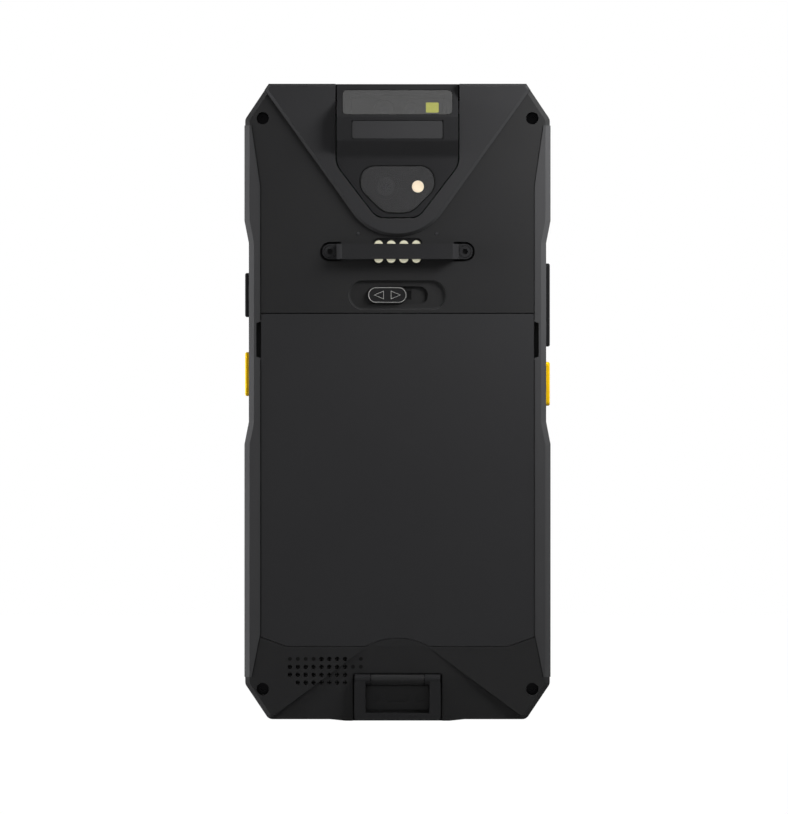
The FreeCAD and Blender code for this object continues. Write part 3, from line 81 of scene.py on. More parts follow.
# A moulded surface: eroded mould grain as bump, a slow drift in tone and a little polish from hands.
def mouldedSurface(look):
    material, tree, place = startMaterial(look["name"])
    grain = addNode(tree, "ShaderNodeTexNoise", {
        "Scale": 1 / (look["grainMm"] * mm), "Detail": 3.0, "Roughness": 0.6}, {"Vector": place})
    drift = addNode(tree, "ShaderNodeTexNoise", {
        "Scale": 1 / (look["driftMm"] * mm), "Detail": 2.0}, {"Vector": place})
    tone = addNode(tree, "ShaderNodeMix", {
        "data_type": "RGBA", 6: fromHex(look["dark"]), 7: fromHex(look["light"])},
        {0: drift.outputs["Fac"]})
    polish = addNode(tree, "ShaderNodeMapRange", {
        "To Min": look["roughness"] - look["polish"], "To Max": look["roughness"] + look["polish"]},
        {"Value": drift.outputs["Fac"]})
    bump = addNode(tree, "ShaderNodeBump", {
        "Strength": look["bump"], "Distance": look["depthMm"] * mm}, {"Height": grain.outputs["Fac"]})
    finishMaterial(tree, {
        "Specular IOR Level": look["specular"], "IOR": look["ior"], "Sheen Weight": look.get("sheen", 0.0)},
        {"Base Color": tone.outputs[2], "Roughness": polish.outputs[0], "Normal": bump.outputs[0]})
    return material


# A worked metal: fine lines or specks along one direction, never quite even in gloss.
metalGrain = {"glossLow": 0.8, "glossHigh": 1.25, "bump": 0.15, "depthMm": 0.01}


def metalSurface(look):
    material, tree, place = startMaterial(look["name"])
    stretch = addNode(tree, "ShaderNodeMapping", {"Scale": look["stretch"]}, {"Vector": place})
    lines = addNode(tree, "ShaderNodeTexNoise", {
        "Scale": 1 / (look["lineMm"] * mm), "Detail": 2.0}, {"Vector": stretch.outputs[0]})
    tone = addNode(tree, "ShaderNodeMix", {
        "data_type": "RGBA", 6: fromHex(look["dark"]), 7: fromHex(look["light"])},
        {0: lines.outputs["Fac"]})
    gloss = addNode(tree, "ShaderNodeMapRange", {
        "To Min": look["roughness"] * metalGrain["glossLow"],
        "To Max": look["roughness"] * metalGrain["glossHigh"]}, {"Value": lines.outputs["Fac"]})
    bump = addNode(tree, "ShaderNodeBump", {
        "Strength": metalGrain["bump"], "Distance": metalGrain["depthMm"] * mm},
        {"Height": lines.outputs["Fac"]})
    finishMaterial(tree, {"Metallic": look.get("metallic", 1.0)}, {
        "Base Color": tone.outputs[2], "Roughness": gloss.outputs[0], "Normal": bump.outputs[0]})
    return material


# A clear or smoked part: polished, with the faint smears that a wiped window keeps.
smearHaze = 0.05


def clearSurface(look):
    material, tree, place = startMaterial(look["name"])
    smear = addNode(tree, "ShaderNodeTexNoise", {
        "Scale": 1 / (look["smearMm"] * mm), "Detail": 4.0}, {"Vector": place})
    gloss = addNode(tree, "ShaderNodeMapRange", {
        "To Min": look["roughness"], "To Max": look["roughness"] + smearHaze},
        {"Value": smear.outputs["Fac"]})
    tone = addNode(tree, "ShaderNodeMix", {
        "data_type": "RGBA", 6: fromHex(look["dark"]), 7: fromHex(look["light"])},
        {0: smear.outputs["Fac"]})
    finishMaterial(tree, {
        "Transmission Weight": look["clear"], "IOR": look["ior"], "Coat Weight": look.get("coat", 0.0),
        "Coat Tint": fromHex(look.get("coatTint", "FFFFFF")),
        # painted glow: emission that makes a part shine by itself
        "Emission Color": fromHex(look.get("paintedGlowColour", "000000")),
        "Emission Strength": look.get("paintedGlowLevel", 0.0)},
        {"Base Color": tone.outputs[2], "Roughness": gloss.outputs[0]})
    return material


# Woven wire behind a grille: two crossing waves make the over and under of the wires.
# Stainless cloth, blackened: wires drawn 0.68 mm apart, since the real 0.2 mm would not show.
wovenLook = {"name": "stainlessWoven", "dark": "050505", "light": "3A3A3A", "pitchMm": 0.682,
             "roughness": 0.45, "bump": 0.8, "depthMm": 0.05}
wavePeriod = 2 * math.pi / 20  # width of one band of the wave texture at scale 1


def wovenSurface(look):
    material, tree, place = startMaterial(look["name"])
    across = addNode(tree, "ShaderNodeTexWave", {
        "bands_direction": "X", "Scale": wavePeriod / (look["pitchMm"] * mm)}, {"Vector": place})
    upwards = addNode(tree, "ShaderNodeTexWave", {
        "bands_direction": "Z", "Scale": wavePeriod / (look["pitchMm"] * mm)}, {"Vector": place})
    height = addNode(tree, "ShaderNodeMath", {"operation": "MULTIPLY"},
                     {0: across.outputs["Fac"], 1: upwards.outputs["Fac"]})
    tone = addNode(tree, "ShaderNodeMix", {
        "data_type": "RGBA", 6: fromHex(look["dark"]), 7: fromHex(look["light"])},
        {0: height.outputs[0]})
    bump = addNode(tree, "ShaderNodeBump", {
        "Strength": look["bump"], "Distance": look["depthMm"] * mm}, {"Height": height.outputs[0]})
    finishMaterial(tree, {"Metallic": 1.0, "Roughness": look["roughness"]}, {
        "Base Color": tone.outputs[2], "Normal": bump.outputs[0]})
    return material


# A printed board: copper runs show as slightly raised lighter lines under the green solder mask.
boardLook = {"name": "epoxyBoardPrinted", "dark": "12402A", "light": "2C6B45", "runMm": 1.4,
             "lineShare": 0.06, "roughness": 0.35, "ior": 1.5, "bump": 0.3, "depthMm": 0.04}
brickRow = 0.25  # height of one course of the brick texture at scale 1


def boardSurface(look):
    material, tree, place = startMaterial(look["name"])
    runs = addNode(tree, "ShaderNodeTexBrick", {
        "Scale": brickRow / (look["runMm"] * mm), "Mortar Size": look["lineShare"],
        "Color1": fromHex(look["dark"]), "Color2": fromHex(look["dark"]),
        "Mortar": fromHex(look["light"])}, {"Vector": place})
    bump = addNode(tree, "ShaderNodeBump", {
        "Strength": look["bump"], "Distance": look["depthMm"] * mm}, {"Height": runs.outputs["Fac"]})
    finishMaterial(tree, {"Roughness": look["roughness"], "IOR": look["ior"]}, {
        "Base Color": runs.outputs["Color"], "Normal": bump.outputs[0]})
    return material


looks = {
    # spark-eroded mould grain on dark ABS-PC: a dry, even, fine-pored black
    "casing": {"name": "pcAbsSparkMoulded", "dark": "242425", "light": "292929", "grainMm": 0.35,
               "driftMm": 28, "roughness": 0.56, "polish": 0.05, "bump": 0.28, "depthMm": 0.05,
               "specular": 0.04, "ior": 1.55},
    # the same plastic from another tool: a touch lighter and calmer than the shell around it
    "battery": {"name": "pcAbsFineMoulded", "dark": "2A2A2B", "light": "2D2D2E", "grainMm": 0.3,
                "driftMm": 40, "roughness": 0.54, "polish": 0.04, "bump": 0.2, "depthMm": 0.04,
                "specular": 0.04, "ior": 1.55},
    # satin ABS on the scan head: smoother, so its slopes catch softer and brighter light
    "scanHead": {"name": "absSatinMoulded", "dark": "2A2A2B", "light": "2E2E2F", "grainMm": 0.4,
                 "driftMm": 20, "roughness": 0.47, "polish": 0.05, "bump": 0.14, "depthMm": 0.04,
                 "specular": 0.05, "ior": 1.54},
    # etched polycarbonate plate: the lightest and driest of the back's blacks
    "plate": {"name": "polycarbonateEtched", "dark": "303031", "light": "343435", "grainMm": 0.25,
              "driftMm": 12, "roughness": 0.6, "polish": 0.03, "bump": 0.15, "depthMm": 0.03,
              "specular": 0.05, "ior": 1.58},
    # the scan head's satin ABS, darkened as painted shade for the raised nose, which the strap loop shares;
    # polished where a hand wipes it
    "nose": {"name": "absSatinPaintedShade", "dark": "1F1F20", "light": "232324", "grainMm": 0.4,
             "driftMm": 14, "roughness": 0.42, "polish": 0.06, "bump": 0.12, "depthMm": 0.04,
             "specular": 0.05, "ior": 1.54},
    # thermoplastic elastomer, over-moulded: grey, grippy and without a clear highlight
    "grip": {"name": "tpeOvermoulded", "dark": "363637", "light": "3C3C3D", "grainMm": 0.5,
             "driftMm": 18, "roughness": 0.68, "polish": 0.04, "bump": 0.35, "depthMm": 0.06,
             "specular": 0.06, "ior": 1.5, "sheen": 0.03},
    # pressed silicone keys: flat and dark, with hardly any highlight
    "blackKey": {"name": "siliconePressedBlack", "dark": "131314", "light": "19191A", "grainMm": 0.4,
                 "driftMm": 8, "roughness": 0.6, "polish": 0.05, "bump": 0.2, "depthMm": 0.04,
                 "specular": 0.15, "ior": 1.43},
    # the same silicone pigmented through: strong warm yellow with a faint waxy shine
    "yellowKey": {"name": "siliconePressedYellow", "dark": "C89E04", "light": "D6AE10", "grainMm": 0.4,
                  "driftMm": 8, "roughness": 0.5, "polish": 0.05, "bump": 0.15, "depthMm": 0.04,
                  "specular": 0.2, "ior": 1.43},
    # glass-filled nylon, moulded: near black with a faint fine fleck
    "nylon": {"name": "nylonGlassFilled", "dark": "0F0F10", "light": "171718", "grainMm": 0.25,
              "driftMm": 5, "roughness": 0.5, "polish": 0.08, "bump": 0.25, "depthMm": 0.03,
              "specular": 0.15, "ior": 1.53},
    # orange silicone seal, moulded: waxy, with a soft light along its lips
    "seal": {"name": "siliconeSealMoulded", "dark": "B2561E", "light": "C8682C", "grainMm": 0.5,
             "driftMm": 10, "roughness": 0.5, "polish": 0.05, "bump": 0.1, "depthMm": 0.03,
             "specular": 0.4, "ior": 1.43},
    # extruded rubber bead, also used for glue lines and for the painted shade of blind holes: matte, darker
    # than both shells
    "rubberAndHoleShade": {"name": "epdmExtrudedAndHoleShade", "dark": "0A0A0A", "light": "101010", "grainMm": 0.4,
               "driftMm": 10, "roughness": 0.75, "polish": 0.03, "bump": 0.2, "depthMm": 0.03,
               "specular": 0.08, "ior": 1.5},
    # pad-printed ink on the latch: an even pale line that stands just off the knob
    "ink": {"name": "inkPadPrinted", "dark": "8E8E8C", "light": "A0A09E", "grainMm": 0.3,
            "driftMm": 3, "roughness": 0.55, "polish": 0.03, "bump": 0.05, "depthMm": 0.01,
            "specular": 0.4, "ior": 1.5},
    # laminated display, switched off: deep blue-black under the glass
    "screen": {"name": "displayLaminated", "dark": "07080B", "light": "0A0B0F", "grainMm": 0.3,
               "driftMm": 60, "roughness": 0.2, "polish": 0.02, "bump": 0.02, "depthMm": 0.01,
               "specular": 0.5, "ior": 1.5},
    # powder-coated steel strap bar and its screws: fine orange peel on a dark satin skin
    "barSteel": {"name": "steelPowderCoated", "dark": "222223", "light": "272728", "grainMm": 0.6,
                 "driftMm": 12, "roughness": 0.42, "polish": 0.05, "bump": 0.2, "depthMm": 0.05,
                 "specular": 0.06, "ior": 1.5},
}
metalLooks = {
    # stamped, bright stainless sheet: soft streaks along the rolling direction
    "steel": {"name": "stainlessStamped", "dark": "9C9C9A", "light": "C4C4C2", "lineMm": 0.4,
              "stretch": (1, 1, 0.1), "roughness": 0.3},
    # black-oxide screws, turned: oily dark metal that is nearly lost in its well
    "darkSteel": {"name": "steelBlackOxide", "dark": "0D0D0E", "light": "161617", "lineMm": 0.3,
                  "stretch": (1, 1, 1), "roughness": 0.35},
    # hard gold over nickel, plated: pale and warm with a worn satin shine
    "gold": {"name": "goldPlated", "dark": "F0EBC8", "light": "FBF9E4", "lineMm": 0.5,
             "stretch": (1, 1, 1), "metallic": 0.85, "roughness": 0.42},
    # passivated steel pins and lens hoods, turned: dull grey, hardly brighter than the plastic round them
    "pinSteel": {"name": "steelPassivated", "dark": "3E3E40", "light": "4C4C4E", "lineMm": 0.3,
                 "stretch": (1, 1, 1), "roughness": 0.5},
    # magnesium chassis, die cast: dull silver with a slightly mottled skin
    "magnesium": {"name": "magnesiumDieCast", "dark": "85878A", "light": "A2A4A6", "lineMm": 0.8,
                  "stretch": (1, 1, 1), "roughness": 0.5},
    # aluminium foil round the cell, rolled: bright with long soft streaks
    "foil": {"name": "aluminiumFoilRolled", "dark": "A4A6A8", "light": "C0C2C4", "lineMm": 1.2,
             "stretch": (1, 1, 0.08), "roughness": 0.38},
}
clearLooks = {
    # strengthened cover glass with black ink behind it: reads as one deep gloss black
    "coverGlass": {"name": "glassStrengthened", "dark": "050506", "light": "060607", "smearMm": 18,
                   "roughness": 0.02, "clear": 0.0, "ior": 1.51},
    # smoked polycarbonate scan window, injection moulded: grey and clear enough to see the engine
    "smoked": {"name": "polycarbonateSmoked", "dark": "8C8C8C", "light": "989898", "smearMm": 9,
               "roughness": 0.04, "clear": 0.94, "ior": 1.58},
    # tinted camera pane: darker, so only the lens and the flash show through
    "cameraPane": {"name": "glassTinted", "dark": "868688", "light": "8E8E90", "smearMm": 9,
                   "roughness": 0.06, "clear": 0.9, "ior": 1.24},
    # coated lens glass, ground: near black with a blue-violet bloom
    "lens": {"name": "glassLensCoated", "dark": "08080C", "light": "0C0C14", "smearMm": 3,
             "roughness": 0.03, "clear": 0.25, "ior": 1.6, "coat": 0.9, "coatTint": "B9B4FF"},
    # frosted flash cover over a warm phosphor: cream, with a faint painted glow
    "flash": {"name": "phosphorFrosted", "dark": "D8C6AC", "light": "E4D6C0", "smearMm": 1,
              "roughness": 0.3, "clear": 0.1, "ior": 1.45, "paintedGlowColour": "E8D9B0", "paintedGlowLevel": 0.1},
    # illumination chip under the scan window: yellow-green phosphor, with a painted glow that keeps it
    # bright behind the smoked window
    "phosphor": {"name": "phosphorYellowGreen", "dark": "C9C832", "light": "E9EA74", "smearMm": 0.8,
                 "roughness": 0.35, "clear": 0.0, "ior": 1.5, "paintedGlowColour": "D8DA48", "paintedGlowLevel": 2.0},
}
material = {key: mouldedSurface(look) for key, look in looks.items()}
material.update({key: metalSurface(look) for key, look in metalLooks.items()})
material.update({key: clearSurface(look) for key, look in clearLooks.items()})
material["mesh"] = wovenSurface(wovenLook)
material["board"] = boardSurface(boardLook)
print("materials made:", len(material))

finishes = {
    "casing": ["rear_housing", "front_bezel"],
    "battery": ["battery_case"],
    "scanHead": ["scan_head_shell"],
    "plate": ["blank_plate"],
    "nose": ["scan_nose", "strap_loop"],
    "grip": ["right_grip", "left_grip"],
    "blackKey": ["left_key", "right_rocker"],
    "yellowKey": ["left_scan_key", "right_scan_key"],
    "nylon": ["earpiece", "speaker", "scan_engine", "camera_barrel", "contact_pad",
              "latch_knob", "latch_bolt", "latch_keeper", "dock_guide"],
    "seal": ["battery_seal"],
    "screen": ["display_panel"],
    "barSteel": ["strap_bar", "strap_bar_screws"],
    "steel": ["shield_can", "power_shield_can", "vibration_motor", "usb_port", "left_switch_strip",
              "right_switch_strip", "card_socket"],
    "darkSteel": ["corner_screws", "loop_pin"],
    "gold": ["rear_contacts", "battery_contacts", "bay_contact_pins"],
    "magnesium": ["mid_frame"],
    "foil": ["battery_cell"],
    "mesh": ["earpiece_mesh", "speaker_mesh"],
    "board": ["main_board"],
    "coverGlass": ["cover_glass"],
    "smoked": ["scan_window"],
    "cameraPane": ["camera_window"],
    "lens": ["front_camera", "scan_lens", "aimer_lens", "camera_lens"],
    "flash": ["flash_lens"],
    "phosphor": ["illumination_lamp"],
}
for key, names in finishes.items():
    for name in names:
        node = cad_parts[name]
        if not node.material_slots:
            node.data.materials.append(material[key])
        for slot in node.material_slots:
            slot.material = material[key]
print("finishes given to", sum(len(names) for names in finishes.values()), "nodes")


def newPiece(name, mesh, key, body):
    piece = bpy.data.objects.new(name, mesh)
    scene.collection.objects.link(piece)
    mesh.materials.append(material[key])
    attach(piece, body)
    return piece


# A turned part: profile points (radius, height out of the face) in mm, spun about the line to the back.
def turnedMesh(name, profile, segments, place):
    form = bmesh.new()
    rings = []
    for radius, height in profile:
        ring = []
        for step in range(segments):
            turn = 2 * math.pi * step / segments
            ring.append(form.verts.new(place @ Vector((
                radius * mm * math.cos(turn), -height * mm, radius * mm * math.sin(turn)))))
        rings.append(ring)
    for low, high in zip(rings, rings[1:]):
        for step in range(segments):
            after = (step + 1) % segments
            form.faces.new((low[step], low[after], high[after], high[step]))
    form.faces.new(rings[-1])
    form.faces.new(list(reversed(rings[0])))
    bmesh.ops.recalc_face_normals(form, faces=form.faces)
    mesh = bpy.data.meshes.new(name)
    form.to_mesh(mesh)
    form.free()
    for face in mesh.polygons:
        face.use_smooth = len(face.vertices) == 4
    return mesh


# A round bead along points in mm, as a bevelled curve.
beadSteps = 2


def beadCurve(name, points, radiusMm, cyclic=True):
    curve = bpy.data.curves.new(name, "CURVE")
    curve.dimensions = "3D"
    curve.bevel_depth = radiusMm * mm
    curve.bevel_resolution = beadSteps
    run = curve.splines.new("POLY")
    run.points.add(len(points) - 1)
    for spot, point in zip(run.points, points):
        spot.co = (*[value * mm for value in point], 1)
    run.use_cyclic_u = cyclic
    return curve


# Lenses: a stepped grey hood with a domed element in it, as a phone camera has, in mm at the camera's size.
lensForm = {"radiusMm": 2.28,
            "hood": [(2.28, 0.0), (2.28, 0.62), (2.0, 0.72), (1.75, 0.5), (1.55, 0.5), (1.35, 0.32),
                     (1.1, 0.32)],
            "dome": [(1.08, 0.3), (0.95, 0.42), (0.7, 0.52), (0.4, 0.58), (0.12, 0.6)]}
lensLook = {
    "camera_lens": {"radiusMm": 2.28, "depthMm": 0.8, "lean": 0, "segments": 48},
    "scan_lens": {"radiusMm": 2.5, "depthMm": 1.0, "lean": 30, "segments": 40},
    "aimer_lens": {"radiusMm": 2.05, "depthMm": 1.0, "lean": 30, "segments": 40},
}


def lensPieces(node, look):
    low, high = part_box(node)
    tilt = Matrix.Rotation(math.radians(-look["lean"]), 4, "X")
    outward = tilt @ Vector((0, -1, 0))
    seat = (low + high) / 2 - outward * look["depthMm"] * mm / 2
    place = Matrix.Translation(seat) @ tilt
    grow = look["radiusMm"] / lensForm["radiusMm"]
    hood = [(radius * grow, height) for radius, height in lensForm["hood"]]
    dome = [(radius * grow, height) for radius, height in lensForm["dome"]]
    ring = newPiece(node + "_hood", turnedMesh(node + "Hood", hood, look["segments"], place),
                    "pinSteel", "terminal")
    glass = newPiece(node + "_element", turnedMesh(node + "Element", dome, look["segments"], place),
                     "lens", "terminal")
    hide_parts(node)
    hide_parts(node)


for node, look in lensLook.items():
    lensPieces(node, look)
print("lenses added:", len(lensLook))

# Flash: a frosted disc with the stepped rings that spread its light.
flashLook = {"rings": 4, "stepMm": 0.06, "rimMm": 0.08, "outerGapMm": 0.05, "innerGapMm": 0.08,
             "middleMm": 0.1, "crestMm": 0.01, "segments": 48}


def flashPiece():
    low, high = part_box("flash_lens")
    radius = (high.x - low.x) / 2 / mm
    thick = (high.y - low.y) / mm
    profile = [(radius, 0.0), (radius, thick - flashLook["rimMm"])]
    for ring in range(flashLook["rings"]):
        outer = radius * (1 - ring / flashLook["rings"]) - flashLook["outerGapMm"]
        inner = radius * (1 - (ring + 1) / flashLook["rings"]) + flashLook["innerGapMm"]
        profile += [(outer, thick - flashLook["stepMm"]),
                    (max(inner, flashLook["middleMm"]), thick - flashLook["crestMm"])]
    middle = (low + high) / 2
    place = Matrix.Translation(Vector((middle.x, high.y, middle.z)))
    piece = newPiece("flash_disc", turnedMesh("flashDisc", profile, flashLook["segments"], place),
                     "flash", "terminal")
    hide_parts("flash_lens")


flashPiece()

# Latch marks: a thin printed outline round the knob and two open triangles that point each way.
latchLook = {"lineMm": 0.065, "arrowMm": 0.1, "insetMm": 0.28, "arcSteps": 12,
             "triangleGapMm": 0.95, "triangleHalfMm": 0.972, "triangleLongMm": 2.295}


def latchMarks():
    low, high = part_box("latch_knob")
    left, right = low.x / mm, high.x / mm
    bottom, top = low.z / mm, high.z / mm
    face = low.y / mm
    middle = (bottom + top) / 2
    roundEnd = (top - bottom) / 2
    reach = roundEnd - latchLook["insetMm"]
    outline = []
    for across, start in ((right - roundEnd, -90), (left + roundEnd, 90)):
        for step in range(latchLook["arcSteps"] + 1):
            turn = math.radians(start + 180 * step / latchLook["arcSteps"])
            outline.append((across + reach * math.cos(turn), face, middle + reach * math.sin(turn)))
    newPiece("latch_outline", beadCurve("latchOutline", outline, latchLook["lineMm"]),
             "ink", "latch")
    for side, word in ((-1, "left"), (1, "right")):
        base = (left + right) / 2 + side * latchLook["triangleGapMm"]
        corners = [(base, face, middle - latchLook["triangleHalfMm"]),
                   (base, face, middle + latchLook["triangleHalfMm"]),
                   (base + side * latchLook["triangleLongMm"], face, middle)]
        newPiece(f"latch_{word}_arrow", beadCurve(f"latch{word}Arrow", corners, latchLook["arrowMm"]),
                 "ink", "latch")


latchMarks()

# Locating pips over the strap bar: two tiny domes that a handle's frame rests on.
pipLook = {"acrossMm": 9.8, "upMm": 121.85, "segments": 20,
           "profile": [(0.42, -0.2), (0.42, 0.02), (0.3, 0.12), (0.1, 0.16)]}
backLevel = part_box("battery_case")[0].y
for side, word in ((-1, "left"), (1, "right")):
    place = Matrix.Translation(Vector((side * pipLook["acrossMm"] * mm, backLevel, pipLook["upMm"] * mm)))
    newPiece(f"{word}_pip", turnedMesh(f"{word}Pip", pipLook["profile"], pipLook["segments"], place),
             "pinSteel", "terminal")

# Parting-line gasket: a rubber bead that shows between the rear shell and the bezel.
# Its path follows the casing's right half from the foot up, with the waist cut in between two heights.
gasketLook = {"radiusMm": 0.22, "sinkMm": 0.1, "cornerAcross": 5.9, "cornerUp": 8.8,
              "footHalf": 13.0, "footUp": 0.1, "edgeHalf": 16.8, "edgeUp": 0.5, "waistIn": 1.1,
              "waistLow": (69.2, 74.8), "waistHigh": (119.5, 125.1)}


def gasketBead():
    low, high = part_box("front_bezel")
    half = high.x / mm - gasketLook["sinkMm"]
    top = high.z / mm - gasketLook["sinkMm"]
    level = low.y / mm
    across, up, edge = gasketLook["cornerAcross"], gasketLook["cornerUp"], gasketLook["edgeUp"]
    waist = half - gasketLook["waistIn"]
    right = [(gasketLook["footHalf"], gasketLook["footUp"]), (gasketLook["edgeHalf"], edge),
             (half - across, edge), (half, edge + up), (half, gasketLook["waistLow"][0]),
             (waist, gasketLook["waistLow"][1]), (waist, gasketLook["waistHigh"][0]),
             (half, gasketLook["waistHigh"][1]), (half, top - up), (half - across, top)]
    loop = right + [(-x, z) for x, z in reversed(right)]
    newPiece("parting_gasket", beadCurve("partingGasket", [(x, level, z) for x, z in loop],
                                         gasketLook["radiusMm"]), "rubberAndHoleShade", "terminal")


gasketBead()

# Dark joint round a flat pane or plate: the glue line that shows between it and its seat.
rimLook = {"camera_window": 0.13, "blank_plate": 0.08}  # radius of each line in mm
sameCornerMm = 0.02


def rimLine(node, radiusMm):
    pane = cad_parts[node]
    corners = [pane.matrix_world @ corner.co for corner in pane.data.vertices]
    order = geometry.convex_hull_2d([Vector((corner.x, corner.z)) for corner in corners])
    line = []
    for spot in [corners[number] for number in order]:
        face = min(corner.y for corner in corners if (corner.xz - spot.xz).length < sameCornerMm * mm)
        line.append((spot.x / mm, face / mm, spot.z / mm))
    newPiece(f"{node}_joint", beadCurve(f"{node}Joint", line, radiusMm), "rubberAndHoleShade", "terminal")


for node, radiusMm in rimLook.items():
    rimLine(node, radiusMm)

# Speaker grille: flat black discs painted as the shade inside blind holes, where the moulded pattern runs on
# past the open holes.
# Each spot is a column from the left and a row from the top, laid flat on the shell under it.
grilleLook = {"leftMm": -26.9, "topMm": 15.53, "pitchMm": 1.97, "radiusMm": 0.48, "thickMm": 0.06,
              "segments": 20, "outsideMm": -60,
              "spots": [(0, 0), (1, 0), (2, 0), (3, 0), (9, 0), (8, 1), (9, 1)]}


def grilleHoleShadeDiscs():
    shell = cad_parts["rear_housing"]
    surface = BVHTree.FromPolygons([shell.matrix_world @ corner.co for corner in shell.data.vertices],
                                   [list(face.vertices) for face in shell.data.polygons])
    radius = grilleLook["radiusMm"] * mm
    form = bmesh.new()
    for column, row in grilleLook["spots"]:
        start = Vector((grilleLook["leftMm"] + column * grilleLook["pitchMm"], grilleLook["outsideMm"],
                        grilleLook["topMm"] - row * grilleLook["pitchMm"])) * mm
        spot, facing = surface.ray_cast(start, Vector((0, 1, 0)))[:2]
        turn = facing.to_track_quat("Z", "Y").to_matrix().to_4x4()
        bmesh.ops.create_cone(form, cap_ends=True, segments=grilleLook["segments"],
                              radius1=radius, radius2=radius, depth=grilleLook["thickMm"] * mm,
                              matrix=Matrix.Translation(spot) @ turn)
    mesh = bpy.data.meshes.new("grilleHoleShadeDiscs")
    form.to_mesh(mesh)
    form.free()
    # each disc takes the rubber's black as painted hole shade
    newPiece("grille_hole_shade_discs", mesh, "rubberAndHoleShade", "terminal")


grilleHoleShadeDiscs()

# Moulding joints on the back: the dark line where each grip and the scan head meet the shell.
# Heights are from the foot. Each grip's line starts at the notch beside the battery
# and ends near the casing's edge.
jointLook = {"lineMm": 0.085, "besideBattery": 0.12, "gripEnd": 1.7,
             "upper": {"notch": 100.3, "inner": 133.6, "outer": 148.9},
             "lower": {"notch": 90.3, "inner": 21.8, "outer": 11.0},
             "veeApex": 111.25, "veeRadius": 13.7, "veeInset": 4.9, "veeEdgeUp": 1.49, "arcSteps": 14}


def jointLine(name, points):
    newPiece(name, beadCurve(name, points, jointLook["lineMm"], False), "rubberAndHoleShade", "terminal")


def gripJoints():
    level = backLevel / mm
    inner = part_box("battery_case")[1].x / mm + jointLook["besideBattery"]
    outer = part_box("front_bezel")[1].x / mm - jointLook["gripEnd"]
    for side, word in ((-1, "left"), (1, "right")):
        for end in ("upper", "lower"):
            heights = jointLook[end]
            jointLine(f"{word}_{end}_joint", [
                (side * inner, level, heights["notch"]), (side * inner, level, heights["inner"]),
                (side * outer, level, heights["outer"])])


def scanHeadJoint():
    level = backLevel / mm
    radius = jointLook["veeRadius"]
    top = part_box("scan_head_shell")[1].z / mm - jointLook["veeEdgeUp"]
    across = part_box("front_bezel")[1].x / mm - jointLook["veeInset"]
    rise = math.atan2(top - jointLook["veeApex"], across)
    # the arc touches both arms of the V, so its centre lies above the point
    centre = jointLook["veeApex"] + radius / math.cos(rise)
    arc = []
    for step in range(jointLook["arcSteps"] + 1):
        turn = -math.pi / 2 + (rise * 2) * (step / jointLook["arcSteps"] - 0.5)
        arc.append((radius * math.cos(turn), level, centre + radius * math.sin(turn)))
    jointLine("scan_head_joint", [(-across, level, top)] + arc + [(across, level, top)])


gripJoints()
scanHeadJoint()
print("pieces added")


# Where the camera, metal or glass looks past the object it sees plain white.
# Every other ray meets the real stage.
def seenRays(tree):
    ray = addNode(tree, "ShaderNodeLightPath")
    direct = addNode(tree, "ShaderNodeMath", {"operation": "MAXIMUM"}, {
        0: ray.outputs["Is Camera Ray"], 1: ray.outputs["Is Glossy Ray"]})
    seen = addNode(tree, "ShaderNodeMath", {"operation": "MAXIMUM"}, {
        0: direct.outputs[0], 1: ray.outputs["Is Transmission Ray"]})
    return seen.outputs[0]


# Matte paper under the object: mostly white to the camera, and a little of its real tone keeps the shadow.
floorLook = {"sizeM": 1.6, "whiteShare": 0.94, "seenLevel": 1.06, "dark": "9C9C9C", "light": "A6A6A6",
             "fibreMm": 2.5, "grid": 4}


def makeFloor():
    floor, tree, place = startMaterial("paperMatte")
    share = addNode(tree, "ShaderNodeMath", {"operation": "MULTIPLY", 1: floorLook["whiteShare"]},
                    {0: seenRays(tree)})
    fibre = addNode(tree, "ShaderNodeTexNoise", {
        "Scale": 1 / (floorLook["fibreMm"] * mm), "Detail": 2.0}, {"Vector": place})
    tone = addNode(tree, "ShaderNodeMix", {
        "data_type": "RGBA", 6: fromHex(floorLook["dark"]), 7: fromHex(floorLook["light"])},
        {0: fibre.outputs["Fac"]})
    paper = addNode(tree, "ShaderNodeBsdfDiffuse", links={"Color": tone.outputs[2]})
    bright = addNode(tree, "ShaderNodeEmission", {"Color": (1, 1, 1, 1), "Strength": floorLook["seenLevel"]})
    both = addNode(tree, "ShaderNodeMixShader", links={
        0: share.outputs[0], 1: paper.outputs[0], 2: bright.outputs[0]})
    addNode(tree, "ShaderNodeOutputMaterial", links={"Surface": both.outputs[0]})
    form = bmesh.new()
    bmesh.ops.create_grid(form, x_segments=floorLook["grid"], y_segments=floorLook["grid"],
                          size=floorLook["sizeM"] / 2)
    mesh = bpy.data.meshes.new("floor")
    form.to_mesh(mesh)
    form.free()
    mesh.materials.append(floor)
    sheet = bpy.data.objects.new("floor", mesh)
    scene.collection.objects.link(sheet)


makeFloor()

# The light from the studio grows from the lower left to the upper right; seen straight, it is plain white.
worldLook = {"leftLevel": 0.0, "rightLevel": 0.08, "seenStrength": 1.0}
world = bpy.data.worlds.new("studio")
scene.world = world
world.use_nodes = True
world.node_tree.nodes.clear()
facing = addNode(world.node_tree, "ShaderNodeTexCoord")
way = addNode(world.node_tree, "ShaderNodeSeparateXYZ", links={"Vector": facing.outputs["Generated"]})
rightAndUp = addNode(world.node_tree, "ShaderNodeMath", {"operation": "ADD"}, {
    0: way.outputs["X"], 1: way.outputs["Z"]})
level = addNode(world.node_tree, "ShaderNodeMapRange", {
    "From Min": -1.0, "From Max": 1.0, "To Min": worldLook["leftLevel"], "To Max": worldLook["rightLevel"]},
    {"Value": rightAndUp.outputs[0]})
strength = addNode(world.node_tree, "ShaderNodeMix", {"data_type": "FLOAT", 3: worldLook["seenStrength"]}, {
    0: seenRays(world.node_tree), 2: level.outputs[0]})
sky = addNode(world.node_tree, "ShaderNodeBackground", {"Color": (1, 1, 1, 1)},
              {"Strength": strength.outputs[0]})
addNode(world.node_tree, "ShaderNodeOutputWorld", links={"Surface": sky.outputs[0]})

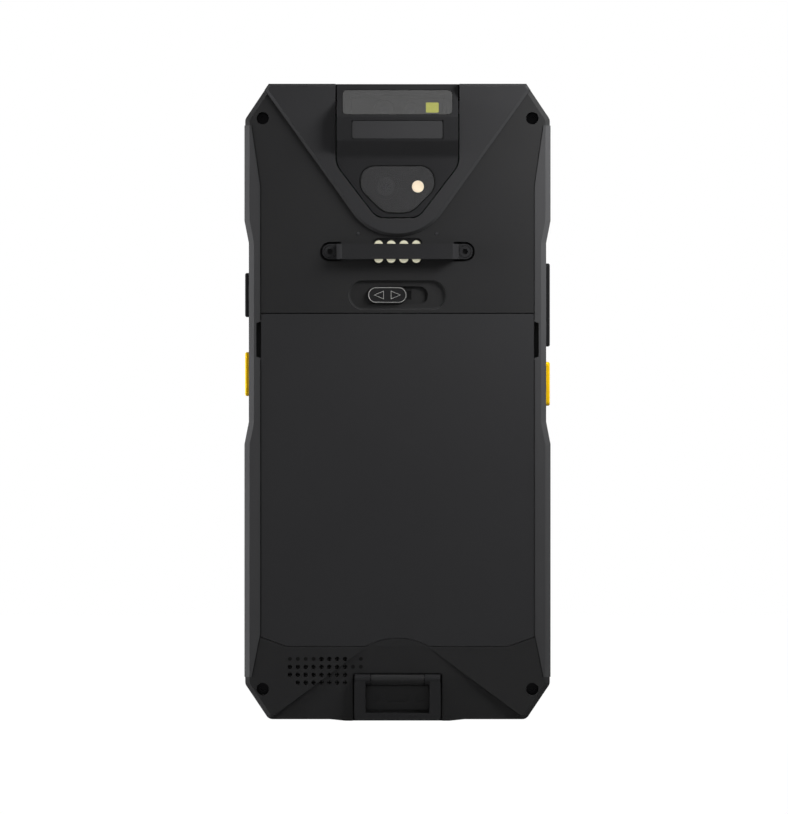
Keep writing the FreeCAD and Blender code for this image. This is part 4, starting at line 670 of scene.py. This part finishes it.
target = Vector((0, -6.5, 80)) * mm
lamps = {
    # the key light stands close to the back's upper right, so the back brightens towards that side
    "keyLight": {"place": (0.13, -0.078, 0.2), "sizeM": 0.07, "watts": 0.62},
    # soft light from high up on the camera's side, for the slopes of the scan head
    "topLight": {"place": (0.0, -0.35, 0.7), "sizeM": 0.45, "watts": 0.9},
    # grazes the left flank, so the left grip and keys stand off from the dark shell
    "leftLight": {"place": (-0.4, -0.025, 0.12), "sizeM": 0.16, "watts": 3.2},
    # lights the display's side, which the main camera never sees
    "fillLight": {"place": (-0.6, 0.7, 0.4), "sizeM": 0.6, "watts": 4.0},
}
for name, lamp in lamps.items():
    light = bpy.data.lights.new(name, "AREA")
    light.size = lamp["sizeM"]
    light.energy = lamp["watts"]
    holder = bpy.data.objects.new(name, light)
    holder.location = lamp["place"]
    holder.rotation_euler = (target - holder.location).to_track_quat("-Z", "Y").to_euler()
    # gloss and glass show only the white studio, so no lamp leaves a hard patch on a pane or the top edge
    holder.visible_glossy = False
    holder.visible_transmission = False
    scene.collection.objects.link(holder)

cameraView = {"distanceM": 1.6, "pixelsPerMm": 4.0, "imageWide": 788, "imageTall": 814,
              "centreX": 397.5, "groundRow": 721.0, "nearM": 0.05, "farM": 20.0}
viewTall = cameraView["imageTall"] / cameraView["pixelsPerMm"] * mm
lookAcross = (cameraView["imageWide"] / 2 - cameraView["centreX"]) / cameraView["pixelsPerMm"] * mm
lookUp = (cameraView["groundRow"] - cameraView["imageTall"] / 2) / cameraView["pixelsPerMm"] * mm
camera = bpy.data.cameras.new("camera")
camera.lens = camera.sensor_width * cameraView["distanceM"] / viewTall
camera.clip_start = cameraView["nearM"]
camera.clip_end = cameraView["farM"]
cameraHolder = bpy.data.objects.new("camera", camera)
cameraHolder.location = (lookAcross, target.y - cameraView["distanceM"], lookUp)
cameraHolder.rotation_euler = (math.radians(90), 0, 0)
scene.collection.objects.link(cameraHolder)
scene.camera = cameraHolder
scene.view_settings.view_transform = "Standard"
print("stage, lamps and camera set")
